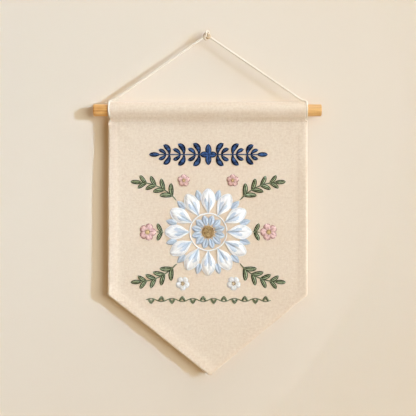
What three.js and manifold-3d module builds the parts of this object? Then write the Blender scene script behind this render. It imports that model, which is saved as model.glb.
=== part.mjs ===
// A five-sided linen pennant with raised embroidery, on a round wooden dowel with its hanging cord.
// Millimetres: +X to the right, +Y towards the wall behind, +Z up.
// The origin is the point inside the small top loop that bears on a nail.

import * as THREE from 'three';
import { mergeVertices } from 'three/addons/utils/BufferGeometryUtils.js';
import Module from 'manifold-3d';

const wasm = await Module();
wasm.setup();

// Driving dimensions
const gap = 0.3;
const dowel = { radius: 6, length: 228.3, z: -78.6, chamfer: 0.9, sides: 32 };
const cord = { diameter: 2.2, steps: 38, sides: 8 };
const cloth = {
  left: -99.4,
  right: 100.3,
  leftCornerZ: -263.4,
  rightCornerZ: -264.0,
  tipX: 2.7,
  tipZ: -343.8,
  tipWidth: 4.8,
  tipRounding: 1.1,
  thickness: 1.7,
};
const sleeve = {
  clearance: 0.5,
  seamDrop: 10.6,
  seamBend: 5,
  flap: 9,
  endInset: 2.65,
  shoulderTop: 9.4,
  shoulderBottom: 10.9,
  bite: 0.1,
};
const curl = { reach: 14, rise: 2.6, start: -102, full: -155 };
const hem = { width: 9, thickness: 0.9, bite: 0.2, setIn: 0.15 };
const turn = { radius: dowel.radius + 2 * gap + cord.diameter / 2, start: 136, end: 410, steps: 13 };
const knot = {
  x: -0.6,
  z: -5.4,
  width: 6,
  depth: 4.8,
  height: 5.2,
  bandRadius: 2.1,
  bandLean: 62,
  bandTilt: 18,
  loopRadius: 2.5,
  loopStretch: 1.12,
  loopCord: 1.9,
  loopTurn: 50,
  legOut: 3.7,
  legDrop: 1.9,
};
const tie = { angle: 114, reach: 8.4, radius: 2.1, inset: 0.2, back: 0.4 };

// Embroidery: heights of the raised fields, and where the motifs stand
const raised = { navy: 1.1, petal: 1.5, blue: 1.1, leaf: 0.9, stem: 0.7, flower: 1.1, border: 0.8, eye: 1.8 };
const stemWidth = 1.5;
const flourish = { x: 1, z: -123, halfLength: 59.5 };
const rosette = {
  x: 0.8,
  z: -200.5,
  petals: 12,
  outer: 44,
  ring: 18.6,
  ringWidth: 1.8,
  petalWidth: 14.6,
  heartFrom: 6.9,
  heartTo: 17.2,
  heartWidth: 7,
  dartFrom: 32.5,
  dartTo: 43.6,
  dartWidth: 6.4,
  eye: 6.3,
};
const border = { x: 1, z: -268.5, length: 125, waves: 6, rise: 1.7, leaf: 6, leafWidth: 2.8 };

// Materials
const linen = new THREE.MeshStandardMaterial({ color: 0xe4d3bb, roughness: 0.95, metalness: 0 });
const wood = new THREE.MeshStandardMaterial({ color: 0xd8a063, roughness: 0.6, metalness: 0 });
const cotton = new THREE.MeshStandardMaterial({ color: 0xf2e6d2, roughness: 0.9, metalness: 0 });
const navyThread = new THREE.MeshStandardMaterial({ color: 0x23417d, roughness: 0.6, metalness: 0 });
const whiteThread = new THREE.MeshStandardMaterial({ color: 0xebebe8, roughness: 0.6, metalness: 0 });
const blueThread = new THREE.MeshStandardMaterial({ color: 0xc3d0dc, roughness: 0.6, metalness: 0 });
const greenThread = new THREE.MeshStandardMaterial({ color: 0x6f8a6c, roughness: 0.6, metalness: 0 });
const pinkThread = new THREE.MeshStandardMaterial({ color: 0xdf9c9c, roughness: 0.6, metalness: 0 });
const ochreThread = new THREE.MeshStandardMaterial({ color: 0xd7a55f, roughness: 0.6, metalness: 0 });

const group = new THREE.Group();

const radians = THREE.MathUtils.degToRad;
const lerp = THREE.MathUtils.lerp;

function addPiece(name, geometry, material) {
  geometry.computeVertexNormals();
  const mesh = new THREE.Mesh(geometry, material);
  mesh.name = name;
  group.add(mesh);
}

// A closed geometry from corners and triangles, its faces turned outwards
function closedGeometry(corners, triangles) {
  const a = new THREE.Vector3();
  const b = new THREE.Vector3();
  const c = new THREE.Vector3();
  const kept = [];
  let volume = 0;
  for (const [i, j, k] of triangles) {
    if (i === j || j === k || k === i) continue;
    a.fromArray(corners, 3 * i);
    b.fromArray(corners, 3 * j);
    c.fromArray(corners, 3 * k);
    volume += a.dot(b.cross(c));
    kept.push(i, j, k);
  }
  if (volume < 0) kept.reverse();
  const geometry = new THREE.BufferGeometry();
  geometry.setAttribute('position', new THREE.Float32BufferAttribute(corners, 3));
  geometry.setIndex(kept);
  return geometry;
}

// The same surface with its shared corners joined and its faces turned outwards
function joined(source) {
  const bare = source.clone();
  bare.deleteAttribute('normal');
  bare.deleteAttribute('uv');
  const merged = mergeVertices(bare, 1e-4);
  const index = merged.index.array;
  const triangles = [];
  for (let i = 0; i < index.length; i += 3) triangles.push([index[i], index[i + 1], index[i + 2]]);
  return closedGeometry(Array.from(merged.attributes.position.array), triangles);
}

function solidOf(geometry) {
  const ready = joined(geometry);
  const mesh = new wasm.Mesh({
    numProp: 3,
    vertProperties: new Float32Array(ready.attributes.position.array),
    triVerts: new Uint32Array(ready.index.array),
  });
  return new wasm.Manifold(mesh);
}

function geometryOf(solid) {
  const mesh = solid.getMesh();
  const geometry = new THREE.BufferGeometry();
  geometry.setAttribute('position', new THREE.BufferAttribute(new Float32Array(mesh.vertProperties), 3));
  geometry.setIndex(new THREE.BufferAttribute(new Uint32Array(mesh.triVerts), 1));
  return geometry;
}

function united(geometries) {
  return geometryOf(geometries.map(solidOf).reduce((sum, solid) => sum.add(solid)));
}

// How far the cloth stands forward of its flat hang: each free edge curls towards the front
function edgeCurl(distance) {
  const share = Math.max(0, 1 - distance / curl.reach);
  return curl.rise * share * share;
}

function distanceToLine(x, z, ax, az, bx, bz) {
  const length = Math.hypot(bx - ax, bz - az);
  return ((bx - ax) * (z - az) - (bz - az) * (x - ax)) / length;
}

function clothForward(x, z) {
  const sides = THREE.MathUtils.smoothstep(-z, -curl.start, -curl.full);
  const toLeft = distanceToLine(x, z, cloth.left, cloth.leftCornerZ, cloth.tipX, cloth.tipZ);
  const toRight = distanceToLine(x, z, cloth.tipX, cloth.tipZ, cloth.right, cloth.rightCornerZ);
  const upright = edgeCurl(x - cloth.left) + edgeCurl(cloth.right - x);
  return sides * upright + edgeCurl(toLeft) + edgeCurl(toRight);
}

// The hanging cloth's middle surface: y at a place, and the normal that faces the front
function hangingPoint(x, z, middle) {
  const step = 0.5;
  const y = middle - clothForward(x, z);
  const slopeX = (clothForward(x - step, z) - clothForward(x + step, z)) / (2 * step);
  const slopeZ = (clothForward(x, z - step) - clothForward(x, z + step)) / (2 * step);
  return {
    point: new THREE.Vector3(x, y, z),
    normal: new THREE.Vector3(slopeX, -1, slopeZ).normalize(),
  };
}

// The sleeve's section from its crest down one side, measured from the dowel's axis:
// round the dowel, straight in to the seam, and a bend into the hanging sheet
function sleeveSection() {
  const radius = dowel.radius + sleeve.clearance + cloth.thickness / 2;
  const seam = new THREE.Vector2(cloth.thickness / 2, -sleeve.seamDrop);
  const lean = Math.acos(radius / seam.length()) + Math.atan2(seam.x, sleeve.seamDrop);
  const wrap = Math.PI - lean;
  const rows = [];
  const arcSteps = 6;
  for (let i = 0; i <= arcSteps; i += 1) {
    const angle = (wrap * i) / arcSteps;
    rows.push({ out: Math.sin(angle), up: Math.cos(angle), y: radius * Math.sin(angle), z: radius * Math.cos(angle) });
  }
  const slant = Math.PI / 2 - lean;
  const tangent = sleeve.seamBend * Math.tan(slant / 2);
  const bendSteps = 3;
  for (let i = 0; i <= bendSteps; i += 1) {
    const angle = slant * (1 - i / bendSteps);
    rows.push({
      out: Math.cos(angle),
      up: -Math.sin(angle),
      y: seam.x + sleeve.seamBend * (1 - Math.cos(angle)),
      z: seam.y - tangent + sleeve.seamBend * Math.sin(angle),
    });
  }
  return rows;
}

// Places across one row of the cloth: set distances in from each edge, where it curls and is hemmed,
// and even shares between. Along the slanted edges the distances run level, so they are longer
const bands = [0, 2.2, 4.8, hem.width, curl.reach];
const middleSteps = 4;
const pointDepth = cloth.leftCornerZ - cloth.tipZ;
const pointRun = cloth.tipX - cloth.left;
const slantStretch = Math.hypot(pointRun, pointDepth) / pointDepth;

function bandRun(distance, aboveCorner) {
  const slanted = distance * slantStretch - Math.max(aboveCorner, 0) * (pointRun / pointDepth);
  return Math.max(distance, slanted);
}

function rowPlaces(left, right, aboveCorner) {
  const fit = Math.min(1, (right - left) / (2.2 * bandRun(curl.reach, aboveCorner)));
  const runs = bands.map((distance) => bandRun(distance, aboveCorner) * fit);
  const places = runs.map((run) => left + run);
  const last = runs[runs.length - 1];
  for (let i = 1; i < middleSteps; i += 1) places.push(lerp(left + last, right - last, i / middleSteps));
  return places.concat(runs.map((run) => right - run).reverse());
}

// A closed sheet on a grid of middle points and outward normals
function sheetGeometry(grid, outside, inside) {
  const rowCount = grid.length;
  const columnCount = grid[0].length;
  const corners = [];
  for (const depth of [outside, inside]) {
    for (const row of grid) {
      for (const { point, normal } of row) corners.push(...point.clone().addScaledVector(normal, depth).toArray());
    }
  }
  const at = (side, i, j) => side * rowCount * columnCount + i * columnCount + j;
  const triangles = [];
  const quad = (a, b, c, d) => triangles.push([a, b, c], [a, c, d]);
  for (let i = 0; i + 1 < rowCount; i += 1) {
    for (let j = 0; j + 1 < columnCount; j += 1) {
      quad(at(0, i, j), at(0, i, j + 1), at(0, i + 1, j + 1), at(0, i + 1, j));
      quad(at(1, i, j), at(1, i + 1, j), at(1, i + 1, j + 1), at(1, i, j + 1));
    }
    const last = columnCount - 1;
    quad(at(0, i, 0), at(0, i + 1, 0), at(1, i + 1, 0), at(1, i, 0));
    quad(at(0, i, last), at(1, i, last), at(1, i + 1, last), at(0, i + 1, last));
  }
  for (let j = 0; j + 1 < columnCount; j += 1) {
    const last = rowCount - 1;
    quad(at(0, 0, j), at(1, 0, j), at(1, 0, j + 1), at(0, 0, j + 1));
    quad(at(0, last, j), at(0, last, j + 1), at(1, last, j + 1), at(1, last, j));
  }
  return closedGeometry(corners, triangles);
}

// One row round the sleeve; side is -1 for the front and 1 for the back
function sleeveRow(section, side, setBack) {
  const drop = -section.z;
  const open = 1 - THREE.MathUtils.smoothstep(drop, sleeve.shoulderTop, sleeve.shoulderBottom);
  const inset = sleeve.endInset * open;
  return rowPlaces(cloth.left + inset, cloth.right - inset, cloth.tipX - cloth.tipZ).map((x) => ({
    point: new THREE.Vector3(x, side * section.y - setBack, dowel.z + section.z),
    normal: new THREE.Vector3(0, side * section.out, section.up),
  }));
}

// Rows of the hanging sheet: shares of the straight part, then of the point, close together at the corner
const straightShares = [0.12, 0.26, 0.4, 0.54, 0.68, 0.8, 0.9, 0.953, 0.976, 1];
const pointShares = [0.07, 0.17, 0.29, 0.42, 0.55, 0.68, 0.8, 0.9, 1];

function hangingRow(left, right, leftZ, rightZ) {
  return rowPlaces(left, right, leftZ - cloth.leftCornerZ).map((x) => {
    const z = lerp(leftZ, rightZ, (x - left) / (right - left));
    return hangingPoint(x, z, -cloth.thickness / 2);
  });
}

function hangingRows() {
  const section = sleeveSection();
  const top = dowel.z + section[section.length - 1].z;
  const rows = [hangingRow(cloth.left, cloth.right, top, top)];
  for (const share of straightShares) {
    const leftZ = lerp(top, cloth.leftCornerZ, share);
    const rightZ = lerp(top, cloth.rightCornerZ, share);
    rows.push(hangingRow(cloth.left, cloth.right, leftZ, rightZ));
  }
  const endZ = cloth.tipZ + cloth.tipRounding;
  for (const share of pointShares) {
    const left = lerp(cloth.left, cloth.tipX - cloth.tipWidth / 2, share);
    const right = lerp(cloth.right, cloth.tipX + cloth.tipWidth / 2, share);
    rows.push(hangingRow(left, right, lerp(cloth.leftCornerZ, endZ, share), lerp(cloth.rightCornerZ, endZ, share)));
  }
  rows.push(hangingRow(cloth.tipX - cloth.tipRounding, cloth.tipX + cloth.tipRounding, cloth.tipZ, cloth.tipZ));
  return rows;
}

function frontGeometry() {
  const round = sleeveSection().slice(0, -1).map((section) => sleeveRow(section, -1, 0));
  return sheetGeometry([...round, ...hangingRows()], cloth.thickness / 2, -cloth.thickness / 2);
}

// The sleeve's back half and the flap that is sewn to the sheet, which bites into it a little
function backGeometry() {
  const sections = sleeveSection();
  const last = sections[sections.length - 1];
  const flapEnd = { ...last, z: last.z - sleeve.flap };
  const rows = [...sections, flapEnd].map((section, i) => sleeveRow(section, 1, Math.min(i / 6, 1) * sleeve.bite));
  return sheetGeometry(rows, cloth.thickness / 2, -cloth.thickness / 2);
}

// The turned hem behind one side, on the sheet's own grid, a little in from its edge
function hemGeometry(side) {
  const inner = bands.indexOf(hem.width);
  const share = hem.setIn / bands[1];
  const setIn = (edge, next) => ({
    point: edge.point.clone().lerp(next.point, share),
    normal: edge.normal.clone().lerp(next.normal, share),
  });
  const rows = hangingRows().map((row) => (
    side < 0
      ? [setIn(row[0], row[1]), ...row.slice(1, inner + 1)]
      : [...row.slice(-inner - 1, -1), setIn(row[row.length - 1], row[row.length - 2])]
  ));
  return sheetGeometry(rows.slice(0, -1), hem.bite - cloth.thickness / 2, -cloth.thickness / 2 - hem.thickness);
}

// The dowel lies along X, with its ends eased by a chamfer
function dowelGeometry() {
  const half = dowel.length / 2;
  const inner = dowel.radius - dowel.chamfer;
  const profile = [
    [0, -half],
    [inner, -half],
    [dowel.radius, dowel.chamfer - half],
    [dowel.radius, half - dowel.chamfer],
    [inner, half],
    [0, half],
  ].map(([radius, along]) => new THREE.Vector2(radius, along));
  const geometry = new THREE.LatheGeometry(profile, dowel.sides);
  geometry.rotateZ(-Math.PI / 2);
  geometry.translate(0, 0, dowel.z);
  return joined(geometry);
}

// A cord leg: one turn round the dowel beside the sleeve's end, up over its top, and straight to the knot.
// Columns of the bend: how far in from the turn, y, and height above the dowel's axis
const legBend = [
  [0.3, -2.3, 8.6],
  [1.9, -0.8, 10.2],
  [4.7, -0.2, 12.2],
];
const legShares = [0.12, 0.3, 0.5, 0.7, 0.88, 1];

function cordRoute(side) {
  const edge = side < 0 ? cloth.left : cloth.right;
  const x = edge - side * cord.diameter / 2;
  const points = [];
  for (let i = 0; i <= turn.steps; i += 1) {
    const angle = radians(lerp(turn.start, turn.end, i / turn.steps));
    points.push(new THREE.Vector3(x, -turn.radius * Math.cos(angle), dowel.z + turn.radius * Math.sin(angle)));
  }
  for (const [inward, y, up] of legBend) points.push(new THREE.Vector3(x - side * inward, y, dowel.z + up));
  const foot = points[points.length - 1];
  const head = new THREE.Vector3(knot.x + side * knot.legOut, 0, knot.z - knot.legDrop);
  for (const share of legShares) points.push(new THREE.Vector3().lerpVectors(foot, head, share));
  return new THREE.CatmullRomCurve3(points, false, 'centripetal');
}

function cordGeometry(side) {
  const section = new THREE.Shape();
  for (let i = 0; i < cord.sides; i += 1) {
    const angle = (2 * Math.PI * i) / cord.sides;
    const place = [Math.cos(angle), Math.sin(angle)].map((share) => (share * cord.diameter) / 2);
    if (i === 0) section.moveTo(...place);
    else section.lineTo(...place);
  }
  section.closePath();
  return joined(new THREE.ExtrudeGeometry(section, {
    steps: cord.steps,
    extrudePath: cordRoute(side),
  }));
}

// The knot: a rounded body, one slanted turn of cord round it, and the loop that goes over the nail
function knotGeometry() {
  const body = new THREE.SphereGeometry(0.5, 14, 10);
  body.scale(knot.width, knot.depth, knot.height);
  body.translate(knot.x, 0, knot.z);
  const band = new THREE.TorusGeometry(knot.bandRadius, knot.loopCord / 2, 8, 16);
  band.rotateY(radians(knot.bandLean));
  band.rotateZ(radians(knot.bandTilt));
  band.translate(knot.x, 0, knot.z);
  const loop = new THREE.TorusGeometry(knot.loopRadius, knot.loopCord / 2, 8, 18);
  loop.rotateX(Math.PI / 2);
  loop.scale(1, 1, knot.loopStretch);
  loop.rotateZ(radians(knot.loopTurn));
  loop.translate(0, 0, -knot.loopStretch * (knot.loopRadius - knot.loopCord / 2));
  return united([body, band, loop]);
}

// The tie behind each turn, which holds the cord's end to its leg
function tieGeometry(side) {
  const edge = side < 0 ? cloth.left : cloth.right;
  const angle = radians(tie.angle);
  const geometry = new THREE.SphereGeometry(tie.radius, 12, 8);
  geometry.translate(
    edge - side * tie.inset,
    tie.back - tie.reach * Math.cos(angle),
    dowel.z + tie.reach * Math.sin(angle),
  );
  return joined(geometry);
}

// The face of the sheet, and the flat back of each raised field just in front of it
const padBack = -cloth.thickness - gap;

// A low ridge over a line of stations, each with a place, a half-width and a height.
// A half-width of nothing closes the ridge to a point
function ridge(stations) {
  const corners = [];
  const push = (x, y, z) => corners.push(x, y, z) / 3 - 1;
  const rings = stations.map((station, i) => {
    const before = stations[Math.max(i - 1, 0)];
    const after = stations[Math.min(i + 1, stations.length - 1)];
    const run = Math.hypot(after.x - before.x, after.z - before.z);
    const sideX = ((before.z - after.z) / run) * station.half;
    const sideZ = ((after.x - before.x) / run) * station.half;
    if (station.half === 0) return [push(station.x, padBack, station.z)];
    return [
      push(station.x + sideX, padBack, station.z + sideZ),
      push(station.x - sideX, padBack, station.z - sideZ),
      push(station.x, padBack - station.height, station.z),
    ];
  });
  const triangles = [];
  const first = rings[0];
  const last = rings[rings.length - 1];
  if (first.length === 3) triangles.push([first[0], first[2], first[1]]);
  for (let i = 0; i + 1 < rings.length; i += 1) {
    for (let k = 0; k < 3; k += 1) {
      const a = rings[i][k % rings[i].length];
      const b = rings[i][(k + 1) % rings[i].length];
      const c = rings[i + 1][(k + 1) % rings[i + 1].length];
      const d = rings[i + 1][k % rings[i + 1].length];
      triangles.push([a, b, c], [a, c, d]);
    }
  }
  if (last.length === 3) triangles.push([last[0], last[1], last[2]]);
  return closedGeometry(corners, triangles);
}

// A leaf, petal or drop: a spine from root to tip that may bow, and a width that swells and closes
function leafField({ x, z, angle, length, width, bow = 0, full = 0.5, height, steps = 5 }) {
  const heading = radians(angle);
  const along = [Math.cos(heading), Math.sin(heading)];
  const power = Math.log(0.5) / Math.log(full);
  const stations = [];
  for (let i = 0; i <= steps; i += 1) {
    const t = i / steps;
    const swell = i === 0 || i === steps ? 0 : Math.sin(Math.PI * t ** power) ** 0.75;
    const aside = 4 * bow * length * t * (1 - t);
    stations.push({
      x: x + along[0] * length * t - along[1] * aside,
      z: z + along[1] * length * t + along[0] * aside,
      half: (width / 2) * swell,
      height: height * (0.4 + 0.6 * swell),
    });
  }
  return ridge(stations);
}

// Places along an arc that starts at a point with a heading and turns evenly over its length
function arcPlace({ x, z, angle, length, bend }, t) {
  const heading = radians(angle + bend * t);
  const middle = radians(angle + (bend * t) / 2);
  const half = radians(bend * t) / 2;
  const chord = length * t * (half === 0 ? 1 : Math.sin(half) / half);
  return { x: x + chord * Math.cos(middle), z: z + chord * Math.sin(middle), heading };
}

function stemField(arc, height, steps = 6) {
  const stations = [];
  for (let i = 0; i <= steps; i += 1) {
    const { x, z } = arcPlace(arc, i / steps);
    stations.push({ x, z, half: (stemWidth / 2) * (i === steps ? 0.6 : 1), height });
  }
  return ridge(stations);
}

// Navy flourish: a level stem with pairs of curved drops that open outwards, and a lozenge of four petals.
// Columns: distance from the middle, heading, length, width, bow
const drops = [
  [9.5, 62, 12.4, 5.2, -0.2],
  [13, 36, 9.4, 3.6, -0.16],
  [24.5, 60, 12, 5, -0.2],
  [28, 34, 9, 3.4, -0.16],
  [39, 57, 11.2, 4.7, -0.2],
  [42.5, 31, 8.6, 3.2, -0.16],
];

function flourishGeometry() {
  const pieces = [];
  for (const turned of [0, 180]) {
    const side = turned === 0 ? 1 : -1;
    for (const [distance, heading, length, width, bow] of drops) {
      for (const up of [1, -1]) {
        pieces.push(leafField({
          x: side * distance,
          z: 0,
          angle: side > 0 ? up * heading : 180 - up * heading,
          length,
          width,
          bow: -side * up * bow,
          full: 0.62,
          height: raised.navy,
        }));
      }
    }
    pieces.push(leafField({
      x: side * 49, z: 0, angle: turned, length: flourish.halfLength - 49, width: 4.2, height: raised.navy,
    }));
  }
  for (const angle of [0, 90, 180, 270]) {
    const length = angle % 180 === 0 ? 8.5 : 10.6;
    pieces.push(leafField({ x: 0, z: 0, angle, length, width: 6, full: 0.45, height: raised.navy }));
  }
  pieces.push(stemField({ x: -52, z: 0, angle: 0, length: 104, bend: 0 }, raised.stem, 8));
  const geometry = united(pieces);
  geometry.translate(flourish.x, 0, flourish.z);
  return geometry;
}

// A ring of petals round the rosette's centre
function petalRing({ count, from, to, width, full, height, offset = 0, steps = 6 }) {
  const petals = [];
  for (let i = 0; i < count; i += 1) {
    const angle = (360 * i) / count + offset;
    petals.push(leafField({
      x: from * Math.cos(radians(angle)),
      z: from * Math.sin(radians(angle)),
      angle,
      length: to - from,
      width,
      full,
      height,
      steps,
    }));
  }
  return petals;
}

function rosettePetalsGeometry() {
  const profile = [
    [rosette.ring - rosette.ringWidth / 2, padBack],
    [rosette.ring + rosette.ringWidth / 2, padBack],
    [rosette.ring, padBack - raised.stem],
    [rosette.ring - rosette.ringWidth / 2, padBack],
  ].map(([radius, y]) => new THREE.Vector2(radius, y));
  const ring = new THREE.LatheGeometry(profile, 36);
  const petals = petalRing({
    count: rosette.petals,
    from: rosette.ring,
    to: rosette.outer,
    width: rosette.petalWidth,
    full: 0.58,
    height: raised.petal,
    steps: 7,
  });
  const darts = petalRing({
    count: rosette.petals,
    from: rosette.dartFrom,
    to: rosette.dartTo,
    width: rosette.dartWidth,
    full: 0.45,
    height: raised.leaf,
    offset: 180 / rosette.petals,
    steps: 4,
  });
  const geometry = united([ring, ...petals, ...darts]);
  geometry.translate(rosette.x, 0, rosette.z);
  return geometry;
}

function rosetteHeartGeometry() {
  const geometry = united(petalRing({
    count: rosette.petals,
    from: rosette.heartFrom,
    to: rosette.heartTo,
    width: rosette.heartWidth,
    full: 0.5,
    height: raised.blue,
    offset: 180 / rosette.petals,
    steps: 4,
  }));
  geometry.translate(rosette.x, 0, rosette.z);
  return geometry;
}

// A low round dome, for the heart of a flower
function domeGeometry(radius, height, sides) {
  const profile = [
    [0, padBack],
    [radius, padBack],
    [radius * 0.86, padBack - height * 0.6],
    [radius * 0.5, padBack - height * 0.93],
    [0, padBack - height],
  ].map(([out, y]) => new THREE.Vector2(out, y));
  return joined(new THREE.LatheGeometry(profile, sides));
}

// Sprigs: a bent stem with pairs of leaves and one at its tip.
// Columns: name, root x and z from the rosette's centre, heading, stem length, bend, pairs, leaf length, leaf width
const sprigs = [
  ['sprig_upper_right', 31.8, 31.8, 50, 42, -48, 4, 13, 5],
  ['sprig_upper_left', -31.8, 31.8, 130, 42, 48, 4, 13, 5],
  ['sprig_lower_right', 31.8, -31.8, -50, 42, 48, 4, 13, 5],
  ['sprig_lower_left', -31.8, -31.8, -130, 42, -48, 4, 13, 5],
  ['sprig_right', 44.6, 0, 0, 7, 0, 1, 10, 4],
  ['sprig_left', -44.6, 0, 180, 7, 0, 1, 10, 4],
];

function sprigGeometry([, x, z, angle, length, bend, pairs, leaf, leafWidth]) {
  const arc = { x, z, angle, length, bend };
  const pieces = [stemField(arc, raised.stem, pairs > 1 ? 6 : 2)];
  for (let i = 0; i < pairs; i += 1) {
    const place = arcPlace(arc, pairs > 1 ? 0.14 + (0.7 * i) / (pairs - 1) : 0.2);
    const heading = THREE.MathUtils.radToDeg(place.heading);
    const size = pairs > 1 ? 1 - 0.07 * i : 1;
    const spread = pairs > 1 ? 42 : 62;
    for (const side of [1, -1]) {
      pieces.push(leafField({
        x: place.x,
        z: place.z,
        angle: heading + side * spread,
        length: leaf * size,
        width: leafWidth * size,
        bow: -side * 0.06,
        height: raised.leaf,
      }));
    }
  }
  if (pairs > 1) {
    const tip = arcPlace(arc, 0.96);
    const heading = THREE.MathUtils.radToDeg(tip.heading);
    pieces.push(leafField({
      x: tip.x, z: tip.z, angle: heading, length: leaf * 0.85, width: leafWidth * 0.85, height: raised.leaf,
    }));
  }
  const geometry = united(pieces);
  geometry.translate(rosette.x, 0, rosette.z);
  return geometry;
}

// Small five-petal flowers. Columns: name, x and z from the rosette's centre, radius, first petal's angle, thread
const flowers = [
  ['flower_right', 60.6, 0, 8.5, 36, pinkThread],
  ['flower_left', -60.6, 0, 8.5, 0, pinkThread],
  ['flower_upper_right', 24.5, 51.5, 6.2, 90, pinkThread],
  ['flower_upper_left', -24.5, 51.5, 6.2, 90, pinkThread],
  ['flower_lower_right', 25.5, -51.5, 7, -90, whiteThread],
  ['flower_lower_left', -25.5, -51.5, 7, -90, whiteThread],
];

function flowerGeometry([, x, z, radius, angle]) {
  const petals = petalRing({
    count: 5,
    from: radius * 0.1,
    to: radius,
    width: radius * 0.98,
    full: 0.6,
    height: raised.flower,
    offset: angle,
    steps: 4,
  });
  const geometry = united([...petals, domeGeometry(radius * 0.27, raised.flower + 0.2, 10)]);
  geometry.translate(rosette.x + x, 0, rosette.z + z);
  return geometry;
}

// Green border: a level wavy stem with a leaf in each hollow of the wave and small drops between
function borderGeometry() {
  const pieces = [];
  const halfWave = border.length / (2 * border.waves);
  const stations = [];
  const steps = 8 * border.waves;
  for (let i = 0; i <= steps; i += 1) {
    const x = (border.length * i) / steps - border.length / 2;
    stations.push({ x, z: border.rise * Math.sin((Math.PI * x) / halfWave), half: 0.65, height: raised.stem });
  }
  pieces.push(ridge(stations));
  for (let i = 0; i < 2 * border.waves; i += 1) {
    const middle = (i + 0.5) * halfWave - border.length / 2;
    const crest = Math.sign(Math.sin((Math.PI * middle) / halfWave));
    for (const side of [1, -1]) {
      pieces.push(leafField({
        x: middle - side * halfWave * 0.3,
        z: crest * border.rise * 0.75,
        angle: side > 0 ? -crest * 62 : 180 + crest * 62,
        length: border.leaf,
        width: border.leafWidth,
        bow: side * crest * 0.08,
        height: raised.border,
        steps: 4,
      }));
    }
  }
  const geometry = united(pieces);
  geometry.translate(border.x, 0, border.z);
  return geometry;
}

// The pieces
addPiece('pennant_cloth', united([frontGeometry(), backGeometry(), hemGeometry(-1), hemGeometry(1)]), linen);
addPiece('dowel', dowelGeometry(), wood);
addPiece('hanging_cord_left', cordGeometry(-1), cotton);
addPiece('hanging_cord_right', cordGeometry(1), cotton);
addPiece('hanging_knot', knotGeometry(), cotton);
addPiece('tie_knot_left', tieGeometry(-1), cotton);
addPiece('tie_knot_right', tieGeometry(1), cotton);
addPiece('navy_flourish', flourishGeometry(), navyThread);
addPiece('rosette_petals', rosettePetalsGeometry(), whiteThread);
addPiece('rosette_heart', rosetteHeartGeometry(), blueThread);
const eye = domeGeometry(rosette.eye, raised.eye, 16);
eye.translate(rosette.x, 0, rosette.z);
addPiece('rosette_eye', eye, ochreThread);
for (const sprig of sprigs) addPiece(sprig[0], sprigGeometry(sprig), greenThread);
for (const flower of flowers) addPiece(flower[0], flowerGeometry(flower), flower[5]);
addPiece('green_border', borderGeometry(), greenThread);

export default group;
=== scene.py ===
# A linen pennant with raised embroidery, on a wooden dowel and a knotted cord.
# Sizes in the dictionaries are in millimetres, and the meshes are in metres.
import math

import bpy
import numpy as np
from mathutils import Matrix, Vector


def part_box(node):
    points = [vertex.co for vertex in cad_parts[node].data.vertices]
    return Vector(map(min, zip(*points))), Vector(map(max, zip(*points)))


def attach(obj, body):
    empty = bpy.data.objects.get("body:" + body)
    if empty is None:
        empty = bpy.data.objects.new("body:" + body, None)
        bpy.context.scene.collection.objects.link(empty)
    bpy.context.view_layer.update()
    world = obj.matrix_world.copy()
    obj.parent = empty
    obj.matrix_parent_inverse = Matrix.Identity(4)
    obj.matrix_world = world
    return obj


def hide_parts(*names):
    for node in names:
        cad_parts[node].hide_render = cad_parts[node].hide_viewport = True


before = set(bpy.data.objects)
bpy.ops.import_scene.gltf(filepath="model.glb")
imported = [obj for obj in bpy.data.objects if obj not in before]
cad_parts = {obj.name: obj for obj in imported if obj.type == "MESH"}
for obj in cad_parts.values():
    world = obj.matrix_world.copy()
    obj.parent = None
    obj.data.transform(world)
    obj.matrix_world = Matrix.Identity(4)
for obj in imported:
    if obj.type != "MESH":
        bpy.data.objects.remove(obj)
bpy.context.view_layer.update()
print("frame loaded")

mm = 0.001
rng = np.random.default_rng(11)


# Shared mathematics

def smoothStep(value, low, high):
    # 0 below low, 1 above high, and an even S between them
    share = np.clip((value - low) / (high - low), 0, 1)
    return share * share * (3 - 2 * share)


def blend(a, b, share):
    return a + (b - a) * share


def unit(vectors):
    return vectors / np.linalg.norm(vectors, axis=-1, keepdims=True)


def runAlong(points):
    # the distance along a path up to each of its points
    return np.concatenate([[0], np.cumsum(np.linalg.norm(np.diff(points, axis=0), axis=1))])


def linear(red, green, blue):
    # the linear colour of an sRGB colour given from 0 to 255
    share = np.array([red, green, blue]) / 255
    return (*np.where(share <= 0.04045, share / 12.92, ((share + 0.055) / 1.055) ** 2.4), 1.0)


# Shared mesh making

def makePiece(name, cadNode, finish, points, faces, runs, tones=None):
    # points in mm; faces and runs are lists of arrays: the corners of faces, and how far along and round the
    # thread each of those corners is
    material, slot = finishes[finish]
    counts = np.concatenate([np.full(len(part), part.shape[1]) for part in faces])
    corners = np.concatenate([part.ravel() for part in faces]).astype(np.int32)
    places = np.concatenate([part.reshape(-1, 2) for part in runs])
    mesh = bpy.data.meshes.new(name)
    mesh.vertices.add(len(points))
    mesh.vertices.foreach_set("co", (points * mm).astype(np.float32).ravel())
    mesh.loops.add(len(corners))
    mesh.loops.foreach_set("vertex_index", corners)
    mesh.polygons.add(len(counts))
    mesh.polygons.foreach_set("loop_start", (np.cumsum(counts) - counts).astype(np.int32))
    mesh.update(calc_edges=True)
    mesh.polygons.foreach_set("use_smooth", np.ones(len(counts), dtype=bool))
    mesh.uv_layers.new(name="threadRun").data.foreach_set("uv", places.astype(np.float32).ravel())
    if tones is not None:
        mesh.attributes.new("tone", "FLOAT", "POINT").data.foreach_set("value", tones.astype(np.float32))
    mesh.validate()
    mesh.materials.append(material)
    piece = bpy.data.objects.new(name, mesh)
    bpy.context.scene.collection.objects.link(piece)
    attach(piece, "root")
    if cadNode:
        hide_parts(cadNode)
    return piece


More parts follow.
